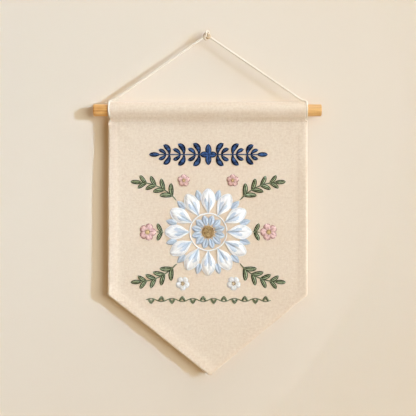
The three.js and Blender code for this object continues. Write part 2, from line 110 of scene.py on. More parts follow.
class Gatherer:
    # collects the points, faces, run coordinates and tones of many small shapes for one piece
    def __init__(self):
        self.points, self.faces, self.runs, self.tones = [], [], [], []
        self.count = 0

    def add(self, points, faces, runs, tones):
        self.points.append(points)
        self.faces += [part + self.count for part in faces]
        self.runs += runs
        self.tones.append(tones)
        self.count += len(points)

    def piece(self, name, cadNode, finish):
        points, tones = np.concatenate(self.points), np.concatenate(self.tones)
        return makePiece(name, cadNode, finish, points, self.faces, self.runs, tones)


def ringFaces(strands, rows, sides, closed=False):
    # faces of many tubes at once: quads between neighbouring rings, and a cap on each open end
    steps = rows if closed else rows - 1
    row, side = np.meshgrid(np.arange(steps), np.arange(sides), indexing="ij")
    here, there, beside = row * sides, (row + 1) % rows * sides, (side + 1) % sides
    quads = np.stack([here + side, here + beside, there + beside, there + side], -1)
    along = np.stack([row, row, row + 1, row + 1], -1) / steps
    turn = np.stack([side, side + 1, side + 1, side], -1) / sides
    first = (np.arange(strands) * rows * sides)[:, None]
    faces = [(first[..., None, None] + quads).reshape(-1, 4)]
    runs = [np.broadcast_to(np.stack([along, turn], -1), (strands, steps, sides, 4, 2))]
    if not closed:
        ring = np.arange(sides)
        faces += [first + ring[::-1], first + (rows - 1) * sides + ring]
        runs += [np.zeros((strands, sides, 2)), np.ones((strands, sides, 2))]
    return faces, runs


# The cord's route: one turn round the dowel beside the sleeve, over its top, and straight to the knot

dowelSizes = {"radius": 6.0, "length": 228.3, "z": -78.6, "easedEnd": 0.9, "uneven": 0.004}
cordSizes = {
    "diameter": 2.2,
    "turnRadius": 7.15,
    "inward": 0.12,
    "turnStart": 136,
    "turnEnd": 410,
    "turnSteps": 13,
    "bend": [[0.3, -2.3, 8.45], [2.0, -1.0, 9.45], [5.4, -0.4, 10.8]],
    "legShares": [0.12, 0.3, 0.5, 0.7, 0.88, 1],
    "legOut": 1.5,
    "legDrop": -0.2,
    "lay": 6.4,
    "step": 0.4,
    "endNarrow": 0.55,
}
ropeSizes = {"core": 0.84, "lobe": 0.18, "mottle": 0.4, "mottleLength": 3.1, "mottleAndShade": 0.06}
clothEdges = {"left": -99.4, "right": 100.3}
knotPlace = {"x": -0.6, "z": -4.5}


def sideName(side):
    return "left" if side < 0 else "right"


def routePoints(side):
    # the listed points of one leg, from its end behind the dowel to the knot
    c = cordSizes
    x = clothEdges[sideName(side)] - side * (c["diameter"] / 2 + c["inward"])
    angle = np.radians(np.linspace(c["turnStart"], c["turnEnd"], c["turnSteps"] + 1))
    out, up = -c["turnRadius"] * np.cos(angle), dowelSizes["z"] + c["turnRadius"] * np.sin(angle)
    turn = np.stack([np.full_like(angle, x), out, up], 1)
    bend = np.array([[x - side * inward, y, dowelSizes["z"] + rise] for inward, y, rise in c["bend"]])
    head = np.array([knotPlace["x"] + side * c["legOut"], 0, knotPlace["z"] - c["legDrop"]])
    leg = blend(bend[-1], head, np.array(c["legShares"])[:, None])
    return np.concatenate([turn, bend, leg])


def smoothRoute(points, step):
    # a centripetal Catmull-Rom curve through the points, laid out again at even steps of length
    ends = np.concatenate([[2 * points[0] - points[1]], points, [2 * points[-1] - points[-2]]])
    knots = np.concatenate([[0], np.cumsum(np.sqrt(np.linalg.norm(np.diff(ends, axis=0), axis=1)))])
    share = np.linspace(0, 1, 24, endpoint=False)
    p = [ends[i : len(ends) - 3 + i, None, :] for i in range(4)]
    t = [knots[i : len(knots) - 3 + i, None, None] for i in range(4)]
    at = t[1] + (t[2] - t[1]) * share[None, :, None]
    mix = lambda a, b, ta, tb: (tb - at) / (tb - ta) * a + (at - ta) / (tb - ta) * b
    a1, a2, a3 = mix(p[0], p[1], t[0], t[1]), mix(p[1], p[2], t[1], t[2]), mix(p[2], p[3], t[2], t[3])
    b1, b2 = mix(a1, a2, t[0], t[2]), mix(a2, a3, t[1], t[3])
    dense = np.concatenate([mix(b1, b2, t[1], t[2]).reshape(-1, 3), points[-1:]])
    run = runAlong(dense)
    even = np.linspace(0, run[-1], max(2, int(round(run[-1] / step))) + 1)
    return np.stack([np.interp(even, run, dense[:, k]) for k in range(3)], 1), run[-1]


def ropeTube(path, radius, reference, lay, closed=False, sides=18, ends=1.0, mottleAndShade=ropeSizes["mottleAndShade"]):
    # three strands laid together: a ring's radius follows |cos(1.5 angle)|, and the rings turn along the path
    if closed:
        tangent = unit(np.roll(path, -1, 0) - np.roll(path, 1, 0))
        run = np.arange(len(path)) * np.linalg.norm(path[1] - path[0])
        turns = round(run[-1] / lay) * 2 * math.pi / len(path) * np.arange(len(path))
        taper = np.ones(len(path))
    else:
        tangent = unit(np.gradient(path, axis=0))
        run = runAlong(path)
        turns = 2 * math.pi * run / lay
        near = np.minimum(run, run[-1] - run) / radius
        taper = np.where(near < 1, blend(ends, 1, np.sqrt(np.clip(near * (2 - near), 0, 1))), 1)
    side = unit(reference - np.sum(reference * tangent, 1, keepdims=True) * tangent)
    up = np.cross(tangent, side)
    angle = np.linspace(0, 2 * math.pi, sides, endpoint=False)
    lobe = ropeSizes["core"] + ropeSizes["lobe"] * np.abs(np.cos(1.5 * (angle[None, :] - turns[:, None])))
    reach = (radius * taper)[:, None, None] * lobe[:, :, None]
    ring = np.cos(angle)[None, :, None] * side[:, None, :] + np.sin(angle)[None, :, None] * up[:, None, :]
    points = (path[:, None, :] + reach * ring).reshape(-1, 3)
    faces, runs = ringFaces(1, len(path), sides, closed)
    # the tone: a slow mottle along the cord, and painted shade over the knot and its loop
    tones = mottleAndShade * (1 + ropeSizes["mottle"] * np.sin(run / ropeSizes["mottleLength"]))
    return points, faces, [part * [run[-1] / lay, 1.0] for part in runs], np.repeat(tones, sides)


# Camera at the photograph's angle: square on, one millimetre of pennant to a pixel

cameraSizes = {"x": 0.6, "z": -176.5, "frame": 416, "lens": 85, "sensor": 36, "faceY": -2}


def makeCamera():
    data = bpy.data.cameras.new("camera")
    data.lens, data.sensor_width = cameraSizes["lens"], cameraSizes["sensor"]
    camera = bpy.data.objects.new("camera", data)
    away = cameraSizes["frame"] * cameraSizes["lens"] / cameraSizes["sensor"]
    camera.location = (cameraSizes["x"] * mm, (cameraSizes["faceY"] - away) * mm, cameraSizes["z"] * mm)
    camera.rotation_euler = (math.pi / 2, 0, 0)
    data.clip_start, data.clip_end = 0.05, 20
    bpy.context.scene.collection.objects.link(camera)
    bpy.context.scene.camera = camera


makeCamera()


# Node helpers

class Graph:
    # adds nodes to one tree; an input takes a value, or another node's output to be joined to it
    def __init__(self, tree):
        self.tree = tree

    def feed(self, socket, value):
        if isinstance(value, bpy.types.NodeSocket):
            self.tree.links.new(value, socket)
        else:
            socket.default_value = value

    def node(self, kind, inputs={}, **settings):
        made = self.tree.nodes.new(kind)
        for key, value in settings.items():
            setattr(made, key, value)
        for key, value in inputs.items():
            self.feed(made.inputs[key], value)
        return made

    def math(self, operation, *values):
        return self.node("ShaderNodeMath", dict(enumerate(values)), operation=operation).outputs[0]

    def mix(self, factor, first, second):
        return self.node("ShaderNodeMix", {0: factor, 6: first, 7: second}, data_type="RGBA").outputs[2]

    def mixShader(self, factor, first, second):
        return self.node("ShaderNodeMixShader", {0: factor, 1: first, 2: second}).outputs[0]

    def noise(self, vector, scale, detail=2.0, roughness=0.5):
        inputs = {"Vector": vector, "Scale": scale, "Detail": detail, "Roughness": roughness}
        return self.node("ShaderNodeTexNoise", inputs).outputs["Fac"]

    def mapped(self, vector, scale, location=(0, 0, 0)):
        inputs = {"Vector": vector, "Scale": scale, "Location": location}
        return self.node("ShaderNodeMapping", inputs).outputs[0]

    def parts(self, vector):
        return self.node("ShaderNodeSeparateXYZ", {0: vector}).outputs

    def clamp(self, value):
        return self.node("ShaderNodeClamp", {0: value}).outputs[0]

    def bump(self, height, strength, distance):
        inputs = {"Height": height, "Strength": strength, "Distance": distance}
        return self.node("ShaderNodeBump", inputs).outputs[0]

    def group(self, group, **inputs):
        return self.node("ShaderNodeGroup", inputs, node_tree=group).outputs

    def run(self):
        return self.node("ShaderNodeUVMap", uv_map="threadRun").outputs[0]

    def place(self):
        return self.node("ShaderNodeTexCoord").outputs["Object"]

    def tone(self):
        return self.node("ShaderNodeAttribute", attribute_name="tone").outputs["Fac"]


def newMaterial(name, roughness, specular, sheen=0.0, sheenRoughness=0.5):
    material = bpy.data.materials.new(name)
    material.use_nodes = True
    shader = material.node_tree.nodes["Principled BSDF"].inputs
    shader["Roughness"].default_value = roughness
    shader["Specular IOR Level"].default_value = specular
    shader["Sheen Weight"].default_value = sheen
    shader["Sheen Roughness"].default_value = sheenRoughness
    return material, Graph(material.node_tree), shader


def newGroup(name, inputs, outputs):
    # an empty group with those sockets, its graph, and the two ends to join
    group = bpy.data.node_groups.new(name, "ShaderNodeTree")
    for direction, sockets in (("INPUT", inputs), ("OUTPUT", outputs)):
        for socket, kind in sockets.items():
            group.interface.new_socket(socket, in_out=direction, socket_type="NodeSocket" + kind)
    graph = Graph(group)
    return group, graph, graph.node("NodeGroupInput").outputs, graph.node("NodeGroupOutput").inputs


# Shader node groups

def weaveGroup():
    # a plain weave: each thread's round profile is a sine, raised where it passes over and sunk where under
    group, g, start, end = newGroup(
        "plainWeave", {"Place": "Vector", "Threads": "Float"}, {"Height": "Float", "Slubs": "Float"},
    )
    place = start["Place"]
    wander = g.node("ShaderNodeTexNoise", {"Vector": place, "Scale": 90}, noise_dimensions="2D")
    shifted = {0: wander.outputs["Color"], 1: (0.0005, 0.0005, 0), 2: place}
    parts = g.parts(g.node("ShaderNodeVectorMath", shifted, operation="MULTIPLY_ADD").outputs[0])
    turn = g.math("MULTIPLY", start["Threads"], math.pi)
    warp, weft = [g.math("SINE", g.math("MULTIPLY", parts[axis], turn)) for axis in (0, 1)]
    over = g.math("MULTIPLY_ADD", g.math("MULTIPLY", warp, weft), 0.42, 0.5)
    warpHeight = g.math("MULTIPLY", g.math("ABSOLUTE", warp), over)
    weftHeight = g.math("MULTIPLY", g.math("ABSOLUTE", weft), g.math("SUBTRACT", 1.0, over))
    lengthwise = g.noise(g.mapped(place, (1, 0.25, 1)), 800, 3)
    crosswise = g.noise(g.mapped(place, (0.25, 1, 1), (3, 5, 0)), 800, 3)
    streaks = g.math("MULTIPLY", g.math("ADD", lengthwise, crosswise), 0.2)
    g.feed(end["Height"], g.math("MAXIMUM", warpHeight, weftHeight))
    g.feed(end["Slubs"], g.math("MULTIPLY_ADD", g.noise(place, 420, 4, 0.7), 0.6, streaks))
    return group


def fibreGroup():
    # the fine twist of a spun thread: slanting ridges across its run, broken up by noise
    group, g, start, end = newGroup(
        "spunThread", {"Run": "Vector", "Twists": "Float"}, {"Height": "Float", "Fleck": "Float"},
    )
    parts = g.parts(start["Run"])
    along = g.math("MULTIPLY", parts[0], start["Twists"])
    phase = g.math("MULTIPLY", g.math("ADD", along, parts[1]), 2 * math.pi)
    ridge = g.math("MULTIPLY_ADD", g.math("SINE", phase), 0.5, 0.5)
    fleck = g.noise(g.mapped(start["Run"], (9, 5, 1)), 3, 3)
    g.feed(end["Height"], g.math("MULTIPLY_ADD", fleck, 0.4, ridge))
    g.feed(end["Fleck"], fleck)
    return group


weave = weaveGroup()
fibre = fibreGroup()


# Materials

linenLook = {
    "pale": linear(244, 226, 201),
    "deep": linear(223, 198, 167),
    "threadsPerMetre": 1350,
    "roughness": 0.92,
    "clouds": 0.35,
    "slubs": 3.6,
    "gapShade": 0.35,
    "relief": 0.0003,
}


def linenMaterial():
    # deeper in the slubs and in slow clouds, and painted shade between the threads
    look = linenLook
    material, g, shader = newMaterial("linen", look["roughness"], 0.2, 0.25, 0.4)
    run = g.run()
    cloth = g.group(weave, Place=run, Threads=look["threadsPerMetre"])
    clouds = g.math("MULTIPLY", g.noise(run, 22, 3), look["clouds"])
    slubs = g.math("MULTIPLY_ADD", g.math("SUBTRACT", cloth["Slubs"], 0.5), look["slubs"], 0.5)
    tone = g.math("ADD", clouds, g.math("MULTIPLY", slubs, 1 - look["clouds"]))
    # painted shade where the weave lies low, between the threads
    slubsAndGapShade = g.math("MULTIPLY_ADD", cloth["Height"], -look["gapShade"], g.math("ADD", tone, 0.2))
    g.feed(shader["Base Color"], g.mix(g.clamp(slubsAndGapShade), look["pale"], look["deep"]))
    raised = g.math("MULTIPLY_ADD", cloth["Slubs"], 1.2, cloth["Height"])
    g.feed(shader["Normal"], g.bump(raised, 0.55, look["relief"]))
    return material


woodLook = {
    "light": linear(244, 195, 122),
    "dark": linear(180, 112, 42),
    "roughness": 0.4,
    "figureRange": (0.44, 0.72),
}


def woodMaterial():
    # fine grain and a slower figure, both drawn out along the dowel
    material, g, shader = newMaterial("oiledWood", woodLook["roughness"], 0.5)
    place = g.place()
    grain = g.noise(g.mapped(place, (0.035, 1, 1)), 900, 4, 0.6)
    figure = g.noise(g.mapped(place, (0.09, 1, 1), (0.3, 0, 0)), 160, 2)
    tone = g.math("ADD", g.math("MULTIPLY", grain, 0.6), g.math("MULTIPLY", figure, 0.55))
    low, high = woodLook["figureRange"]
    spread = g.node("ShaderNodeMapRange", {0: tone, 1: low, 2: high}).outputs[0]
    g.feed(shader["Base Color"], g.mix(spread, woodLook["light"], woodLook["dark"]))
    g.feed(shader["Normal"], g.bump(grain, 0.25, 0.0002))
    return material


cordLook = {"pale": linear(253, 247, 233), "deep": linear(224, 204, 172), "mottleAndShadeColour": linear(206, 174, 130)}


def cordMaterial():
    # pale on the fibres' ridges, painted shade in their grooves, and deeper by the tone: a mottle, and
    # painted shade on the knot
    material, g, shader = newMaterial("twistedCotton", 0.85, 0.2, 0.3, 0.5)
    height = g.group(fibre, Run=g.run(), Twists=7.0)["Height"]
    flecksAndGrooveShade = g.mix(g.math("MULTIPLY_ADD", height, -0.4, 0.75), cordLook["pale"], cordLook["deep"])
    g.feed(shader["Base Color"], g.mix(g.tone(), flecksAndGrooveShade, cordLook["mottleAndShadeColour"]))
    g.feed(shader["Normal"], g.bump(height, 0.5, 0.0002))
    return material


# Threads. Columns: slot, the colour of dark stitches and of painted shade, the colour on the crests, how much
# they shine
threadLooks = {
    "navy": ["navy_thread", linear(2, 7, 28), linear(80, 114, 172), 0.12],
    "white": ["white_thread", linear(204, 203, 204), linear(255, 253, 248), 0.35],
    "paleBlue": ["blue_thread", linear(130, 150, 172), linear(228, 235, 240), 0.35],
    "green": ["green_thread", linear(14, 25, 2), linear(188, 199, 156), 0.12],
    "pink": ["pink_thread", linear(164, 90, 82), linear(252, 218, 208), 0.3],
    "ochre": ["ochre_thread", linear(112, 66, 24), linear(244, 212, 148), 0.25],
    "natural": ["linen", linear(218, 198, 170), linear(240, 224, 200), 0.1],
}


def threadMaterial(name, dark, light, shine):
    # from the dark to the light colour by each stitch's tone, flecked by its twist, whose grooves get painted
    # shade
    material, g, shader = newMaterial(name + "Thread", 0.5, shine, shine * 0.3, 0.4)
    tone = g.tone()
    height = g.group(fibre, Run=g.run(), Twists=6.0)["Height"]
    flecksAndTwistShade = g.math("MULTIPLY_ADD", height, 0.22, g.math("SUBTRACT", tone, 0.11))
    g.feed(shader["Base Color"], g.mix(g.clamp(flecksAndTwistShade), dark, light))
    g.feed(shader["Normal"], g.bump(height, 0.3, 0.00008))
    return material


# what a piece is made of: its material and its slot
finishes = {
    "linen": (linenMaterial(), "linen"),
    "wood": (woodMaterial(), "wood"),
    "cotton": (cordMaterial(), "cord"),
}
for thread, (slot, *look) in threadLooks.items():
    finishes[thread] = threadMaterial(thread, *look), slot
print("materials made")


# Cord, its knot at the nail, and the ties behind the dowel

# the knot's and the loop's tones are painted shade, darkening them towards the cord's deep colour
knotSizes = {
    "reach": 3.3,
    "squash": 0.42,
    "cord": 1.15,
    "lay": 5.2,
    "knotShade": 0.7,
    "loopRadius": 2.5,
    "loopStretch": 1.12,
    "loopTurn": 50,
    "loopCord": 0.95,
    "loopShade": 0.2,
}
tieSizes = {"reach": 1.55, "squash": 0.4, "cord": 0.62, "lay": 4}


def ropePiece(name, cadNode, *ropes):
    gathered = Gatherer()
    for rope in ropes:
        gathered.add(*rope)
    return gathered.piece(name, cadNode, "cotton")


def makeCord(side):
    path, length = smoothRoute(routePoints(side), cordSizes["step"])
    reference = np.tile([1.0, 0, 0], (len(path), 1))
    radius, lay, narrow = cordSizes["diameter"] / 2, cordSizes["lay"], cordSizes["endNarrow"]
    rope = ropeTube(path, radius, reference, lay, ends=narrow)
    return ropePiece("cord" + sideName(side).title(), "hanging_cord_" + sideName(side), rope), path, length


def knottedPath(rows, reach, squash):
    # a trefoil: radius 2 + cos 3t at the angle 2t, rising and falling with sin 3t
    t = np.linspace(0, 2 * math.pi, rows, endpoint=False)
    radius = (2 + np.cos(3 * t)) / 3
    return np.stack([radius * np.cos(2 * t), squash * np.sin(3 * t), radius * np.sin(2 * t)], 1) * reach


def loopPath(rows):
    # the small ring over the nail, turned a little out of the wall's plane
    t = np.linspace(0, 2 * math.pi, rows, endpoint=False)
    lean = math.radians(knotSizes["loopTurn"])
    across = knotSizes["loopRadius"] * np.cos(t)
    up = knotSizes["loopRadius"] * knotSizes["loopStretch"] * np.sin(t)
    drop = knotSizes["loopStretch"] * (knotSizes["loopRadius"] - knotSizes["loopCord"])
    return np.stack([across * math.cos(lean), across * math.sin(lean), up - drop], 1)


def makeKnot():
    k = knotSizes
    turns, ring = knottedPath(132, k["reach"], k["squash"]), loopPath(72)
    body = turns + [knotPlace["x"], 0, knotPlace["z"]]
    knot = ropeTube(body, k["cord"], turns + [0, 0.01, 0], k["lay"], closed=True, mottleAndShade=k["knotShade"])
    loop = ropeTube(ring, k["loopCord"], ring - ring.mean(0), k["lay"], closed=True, mottleAndShade=k["loopShade"])
    return ropePiece("hangingKnot", "hanging_knot", knot, loop)


def makeTie(side):
    # a small overhand knot behind the turn, where the cord's end is tied to its leg
    cadNode = "tie_knot_" + sideName(side)
    low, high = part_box(cadNode)
    centre = (np.array(low) + np.array(high)) / 2 / mm
    path = knottedPath(96, tieSizes["reach"], tieSizes["squash"])[:, [1, 0, 2]]
    outward = path + [0.01, 0, 0]
    rope = ropeTube(path + centre, tieSizes["cord"], outward, tieSizes["lay"], closed=True, sides=12)
    return ropePiece("tie" + sideName(side).title(), cadNode, rope)


hangingKnot = makeKnot()
for side in (-1, 1):
    cordPiece, cordPath, cordLength = makeCord(side)
    tiePiece = makeTie(side)
print("cord and knots made")


# Dowel

def makeDowel():
    # a slightly uneven radius carried along X, with both ends eased by a quarter round
    radius, half, eased = dowelSizes["radius"], dowelSizes["length"] / 2, dowelSizes["easedEnd"]
    angle = np.linspace(0, math.pi / 2, 7)
    out = np.concatenate([[0.4, radius * 0.5, radius * 0.8], radius - eased * (1 - np.sin(angle))])
    back = np.concatenate([[0, 0, 0], eased * (1 - np.cos(angle))])
    middle = np.linspace(-half + eased, half - eased, 40)[1:-1]
    x = np.concatenate([-half + back, middle, (half - back)[::-1]])
    reach = np.concatenate([out, np.full(len(middle), radius), out[::-1]])
    turn = np.linspace(0, 2 * math.pi, 64, endpoint=False)
    ring = reach[:, None] * (1 - dowelSizes["uneven"] * (1 + np.sin(x[:, None] / 31 + 2 * turn)))
    points = np.stack([x[:, None] + 0 * ring, ring * np.cos(turn), dowelSizes["z"] + ring * np.sin(turn)], -1)
    faces, runs = ringFaces(1, len(x), len(turn))
    return makePiece("turnedDowel", "dowel", "wood", points.reshape(-1, 3), faces, runs)


dowelPiece = makeDowel()
print("dowel made")


# The pennant cloth. A pair that ends in From is where a change starts and ends, down from the nail
clothSizes = {
    "leftCornerZ": -263.4,
    "rightCornerZ": -264.0,
    "tipX": 2.7,
    "tipZ": -343.8,
    "tipWidth": 4.8,
    "tipRounding": 1.1,
    "thickness": 1.7,
    "curlReach": 14,
    "curlRise": 2.6,
    "rightCurl": 0.58,
    "pointCurl": 0.12,
    "curlFrom": [102, 155],
    "hemWidth": 9,
    "hemThickness": 0.9,
    "hemFrom": [93, 96],
    "hemShow": 0.14,
    "hemShowFrom": [92, 97],
    "hemStep": [-1.1, 0.9],
    "edgeRound": 2.1,
    "edgeRoundFrom": [92, 98],
    "endRound": 0.3,
    "rightRoll": [3.4, 1.3],
    "rightRollFrom": [90, 97],
    "leftRoll": [8.0, 1.0],
    "waveRise": 0.3,
    "waveFrom": [100, 150],
}
sleeveSizes = {
    "clearance": 0.5,
    "seamDrop": 10.6,
    "seamBend": 6.5,
    "flap": 9,
    "slack": 0.35,
    "endInset": 2.25,
    "shoulder": [9.4, 10.9],
    "middleX": 0.45,
    "endLift": 0.6,
    "liftStart": [82, 90],
    "liftEnd": [92, 97.5],
    "crestSway": 0.12,
}
puckerSizes = {"rise": 0.15, "drop": 12, "reachUp": 2.6, "reachDown": 6.5, "behind": 0.3}
# Slanting folds from the upper corners. Columns: x where it starts, slope, rise, and 1 if it runs rightwards
dragSizes = {"top": 93, "width": 3.4, "starts": [-2, 5], "ends": [12, 46]}
drags = [[clothEdges["left"] + 5, -0.72, 0.3, 1], [clothEdges["right"] - 7, 1.15, 0.2, -1]]


def distanceToLine(x, z, ax, az, bx, bz):
    return ((bx - ax) * (z - az) - (bz - az) * (x - ax)) / math.hypot(bx - ax, bz - az)


def edgeRoll(distance, sizes):
    # a parabola towards a free edge: sizes are how far in it starts and its height at the very edge
    share = np.clip(1 - distance / sizes[0], 0, None)
    return sizes[1] * share * share


def edgeCurl(distance):
    return edgeRoll(distance, [clothSizes["curlReach"], clothSizes["curlRise"]])


def softWaves(x, z):
    # two slow waves crossing at a slant, fading out towards the sleeve
    long = np.sin(x / 33 + 0.9 + 0.5 * np.sin(z / 47)) * np.cos(z / 61 + 0.4)
    short = 0.45 * np.sin(x / 15 - z / 39 + 2.1)
    return clothSizes["waveRise"] * smoothStep(-z, *clothSizes["waveFrom"]) * (long + short)


def dragFolds(x, z):
    # faint slanting ridges that run down and in from the upper corners, each a bell curve across
    total = 0 * x
    down = z + dragSizes["top"]
    for cornerX, slope, rise, way in drags:
        along = (x - cornerX + slope * down) / math.hypot(1, slope) * way
        across = ((x - cornerX) * slope - down) / math.hypot(1, slope)
        fading = smoothStep(along, *dragSizes["starts"]) * (1 - smoothStep(along, *dragSizes["ends"]))
        total += rise * np.exp(-((across / dragSizes["width"]) ** 2)) * fading
    return total


def puckers(x, drop):
    # small upright ripples that the seam draws in, fading away from it
    ripple = np.sin(x / 0.93 + 1.3 * np.sin(x / 9)) + 0.8 * np.sin(x / 1.71 + 2) + 0.7 * np.sin(x / 3.3 + 0.7)
    below = drop - puckerSizes["drop"]
    near = np.exp(-np.abs(below) / np.where(below > 0, puckerSizes["reachDown"], puckerSizes["reachUp"]))
    return puckerSizes["rise"] * ripple * near


def clothForward(x, z):
    # how far the sheet stands forward of its flat hang: its edges' curl less their roll back, the step of the
    # hem, slow waves, slanting folds and the seam's puckers
    c = clothSizes
    sides = smoothStep(-z, *c["curlFrom"])
    fromLeft, fromRight = x - clothEdges["left"], clothEdges["right"] - x
    toLeft = distanceToLine(x, z, clothEdges["left"], c["leftCornerZ"], c["tipX"], c["tipZ"])
    toRight = distanceToLine(x, z, c["tipX"], c["tipZ"], clothEdges["right"], c["rightCornerZ"])
    curled = sides * (edgeCurl(fromLeft) + c["rightCurl"] * edgeCurl(fromRight))
    curled += edgeCurl(toLeft) + c["pointCurl"] * edgeCurl(toRight)
    rolled = sides * edgeRoll(fromLeft, c["leftRoll"]) + edgeRoll(toLeft, c["leftRoll"])
    rolled += smoothStep(-z, *c["rightRollFrom"]) * edgeRoll(fromRight, c["rightRoll"])
    rolled += edgeRoll(toRight, c["rightRoll"])
    toEdge = np.minimum(np.minimum(fromLeft, fromRight), np.minimum(toLeft, toRight))
    onHem = 1 - smoothStep(toEdge - c["hemWidth"], *c["hemStep"])
    step = c["hemShow"] * onHem * smoothStep(-z, *c["hemShowFrom"])
    return curled - rolled + step + softWaves(x, z) + dragFolds(x, z) + puckers(x, dowelSizes["z"] - z)


def onCloth(x, z, height, under=None):
    # a place so far in front of the cloth's face, or so far behind its back over a layer of that thickness
    flat = -clothSizes["thickness"] - height if under is None else under + height
    return np.stack([x, flat - clothForward(x, z), z], -1)


def sleeveSection():
    # from the crest: round the dowel, straight in to the seam, and a bend into the hanging sheet
    s = sleeveSizes
    halfThick = clothSizes["thickness"] / 2
    radius = dowelSizes["radius"] + s["clearance"] + halfThick
    seamY, seamZ = halfThick, -s["seamDrop"]
    lean = math.acos(radius / math.hypot(seamY, seamZ)) + math.atan2(seamY, s["seamDrop"])
    slant = math.pi / 2 - lean
    turn = np.linspace(0, math.pi - lean, 46)
    bend = np.linspace(slant, 0, 12)
    arcY, arcZ = radius * np.sin(turn), radius * np.cos(turn)
    bendY = seamY + s["seamBend"] * (1 - np.cos(bend))
    bendZ = seamZ - s["seamBend"] * math.tan(slant / 2) + s["seamBend"] * np.sin(bend)
    share = np.linspace(0, 1, 11)[1:-1]
    slack = s["slack"] * np.sin(np.pi * share) ** 1.5
    lineY = blend(arcY[-1], bendY[0], share) + slack * math.cos(slant)
    lineZ = blend(arcZ[-1], bendZ[0], share) - slack * math.sin(slant)
    return np.concatenate([arcY, lineY, bendY]), np.concatenate([arcZ, lineZ, bendZ])


# how far in from an edge the points of a row stand, and how many even steps fill the middle
bandDistances = np.array([
    0, 0.05, 0.2, 0.45, 0.8, 1.2, 1.65, 2.15, 3.2, 4.6, 6, 7.3, 8.3, 8.6, 8.8, 9.0, 9.3, 10, 11.2, 12.6, 14,
])
middleColumns = 66


def rowPlaces(left, right, aboveCorner):
    # places across each row: set distances in from both edges and even shares between; also their distances
    c = clothSizes
    depth, run = c["leftCornerZ"] - c["tipZ"], c["tipX"] - clothEdges["left"]
    stretch = math.hypot(run, depth) / depth
    slanted = bandDistances * stretch - np.clip(aboveCorner, 0, None)[:, None] * (run / depth)
    runs = np.maximum(bandDistances[None, :], slanted)
    fit = np.minimum(1, (right - left)[:, None] / (2.2 * runs[:, -1:]))
    runs = runs * fit
    share = np.linspace(0, 1, middleColumns + 1)[1:-1]
    inner = (left[:, None] + runs[:, -1:]) + ((right - left)[:, None] - 2 * runs[:, -1:]) * share[None, :]
    places = np.concatenate([left[:, None] + runs, inner, right[:, None] - runs[:, ::-1]], 1)
    near = bandDistances[None, :] * fit
    far = np.full((len(left), len(share)), c["curlReach"] + 1.0)
    return places, np.concatenate([near, far, near[:, ::-1]], 1)


def clothRows():
    # every row from the flap's end over the crest to the tip: its two ends, and the sleeve's section
    c, s = clothSizes, sleeveSizes
    sectionY, sectionZ = sleeveSection()
    flapEnd = s["flap"] - np.array([0.85, 0.6, 0.35, 0.15, 0.04, 0])
    flap = np.concatenate([np.linspace(0, s["flap"] - 1, 8), flapEnd])
    backY = np.concatenate([sectionY, np.full(len(flap) - 1, sectionY[-1])])[::-1]
    backZ = np.concatenate([sectionZ, sectionZ[-1] - flap[1:]])[::-1]
    roundY, roundZ = np.concatenate([backY, -sectionY[1:]]), np.concatenate([backZ, sectionZ[1:]])
    inset = s["endInset"] * (1 - smoothStep(-roundZ, *s["shoulder"]))
    roundTop = dowelSizes["z"] + roundZ
    straight, point = np.linspace(0, 1, 104)[1:], np.linspace(0, 1, 70)[1:]
    endZ = c["tipZ"] + c["tipRounding"]
    fall = np.array([0.3, 0.6, 0.8, 0.92, 0.98, 1.0])
    tipHalf = c["tipRounding"] + (c["tipWidth"] / 2 - c["tipRounding"]) * np.sqrt(1 - fall**2)
    rows = {"sectionY": roundY, "back": len(backY)}
    for name, inward in (("left", 1), ("right", -1)):
        edge, cornerZ = clothEdges[name], c[name + "CornerZ"]
        slanting = blend(edge, c["tipX"] - inward * c["tipWidth"] / 2, point)
        upright = np.full(len(straight), edge)
        rows[name] = np.concatenate([edge + inward * inset, upright, slanting, c["tipX"] - inward * tipHalf])
        hanging = [blend(roundTop[-1], cornerZ, straight), blend(cornerZ, endZ, point)]
        rows[name + "Z"] = np.concatenate([roundTop, *hanging, endZ - c["tipRounding"] * fall])
    return rows


def clothShape():
    # the middle surface, thickened along its normals; the edges close in a half round, and the hem is thicker
    # behind
    c, s = clothSizes, sleeveSizes
    rows = clothRows()
    left, right, turned = rows["left"], rows["right"], len(rows["sectionY"])
    x, distance = rowPlaces(left, right, rows["leftZ"] - c["leftCornerZ"])
    z = blend(rows["leftZ"][:, None], rows["rightZ"][:, None], (x - left[:, None]) / (right - left)[:, None])
    y = -c["thickness"] / 2 - clothForward(x, z)
    drop = dowelSizes["z"] - z[:turned]
    ripple = puckers(x[:turned], drop) * smoothStep(drop, 3, 10)
    inFront = np.arange(turned)[:, None] >= rows["back"]
    y[:turned] = rows["sectionY"][:, None] + np.where(inFront, -ripple, puckerSizes["behind"] * ripple)
    aside = np.abs(x[:turned] - s["middleX"])
    lift = s["endLift"] * smoothStep(aside, *s["liftStart"]) * (1 - smoothStep(aside, *s["liftEnd"]))
    sway = s["crestSway"] * np.sin(x[:turned] / 21)
    z[:turned] += lift * smoothStep(-drop, 3, 7) + sway * smoothStep(-drop, 0, 6)
    middle = np.stack([x, y, z], -1)
    normal = unit(np.cross(np.gradient(middle, axis=0), np.gradient(middle, axis=1)))
    run = runAlong(middle[:, middle.shape[1] // 2])
    hanging = (np.arange(len(run)) >= turned)[:, None]
    fromTip = (run[-1] - run)[:, None]
    nearest = np.minimum(distance, np.minimum(run[:, None], fromTip))
    roundness = blend(c["endRound"], c["edgeRound"], smoothStep(-z, *c["edgeRoundFrom"]) * hanging)
    swell = np.sqrt(1 - (1 - np.clip(nearest / roundness, 0, 1)) ** 2)
    hemmed = 1 - smoothStep(np.minimum(distance, fromTip), c["hemWidth"] - 0.35, c["hemWidth"] + 0.15)
    depth = hemmed * hanging * smoothStep(-z, *c["hemFrom"]) * c["hemThickness"]
    reach = (c["thickness"] + depth) / 2 * swell
    frontFace = middle + normal * (reach - depth / 2)[..., None]
    backFace = middle - normal * (reach + depth / 2)[..., None]
    return frontFace, backFace, run


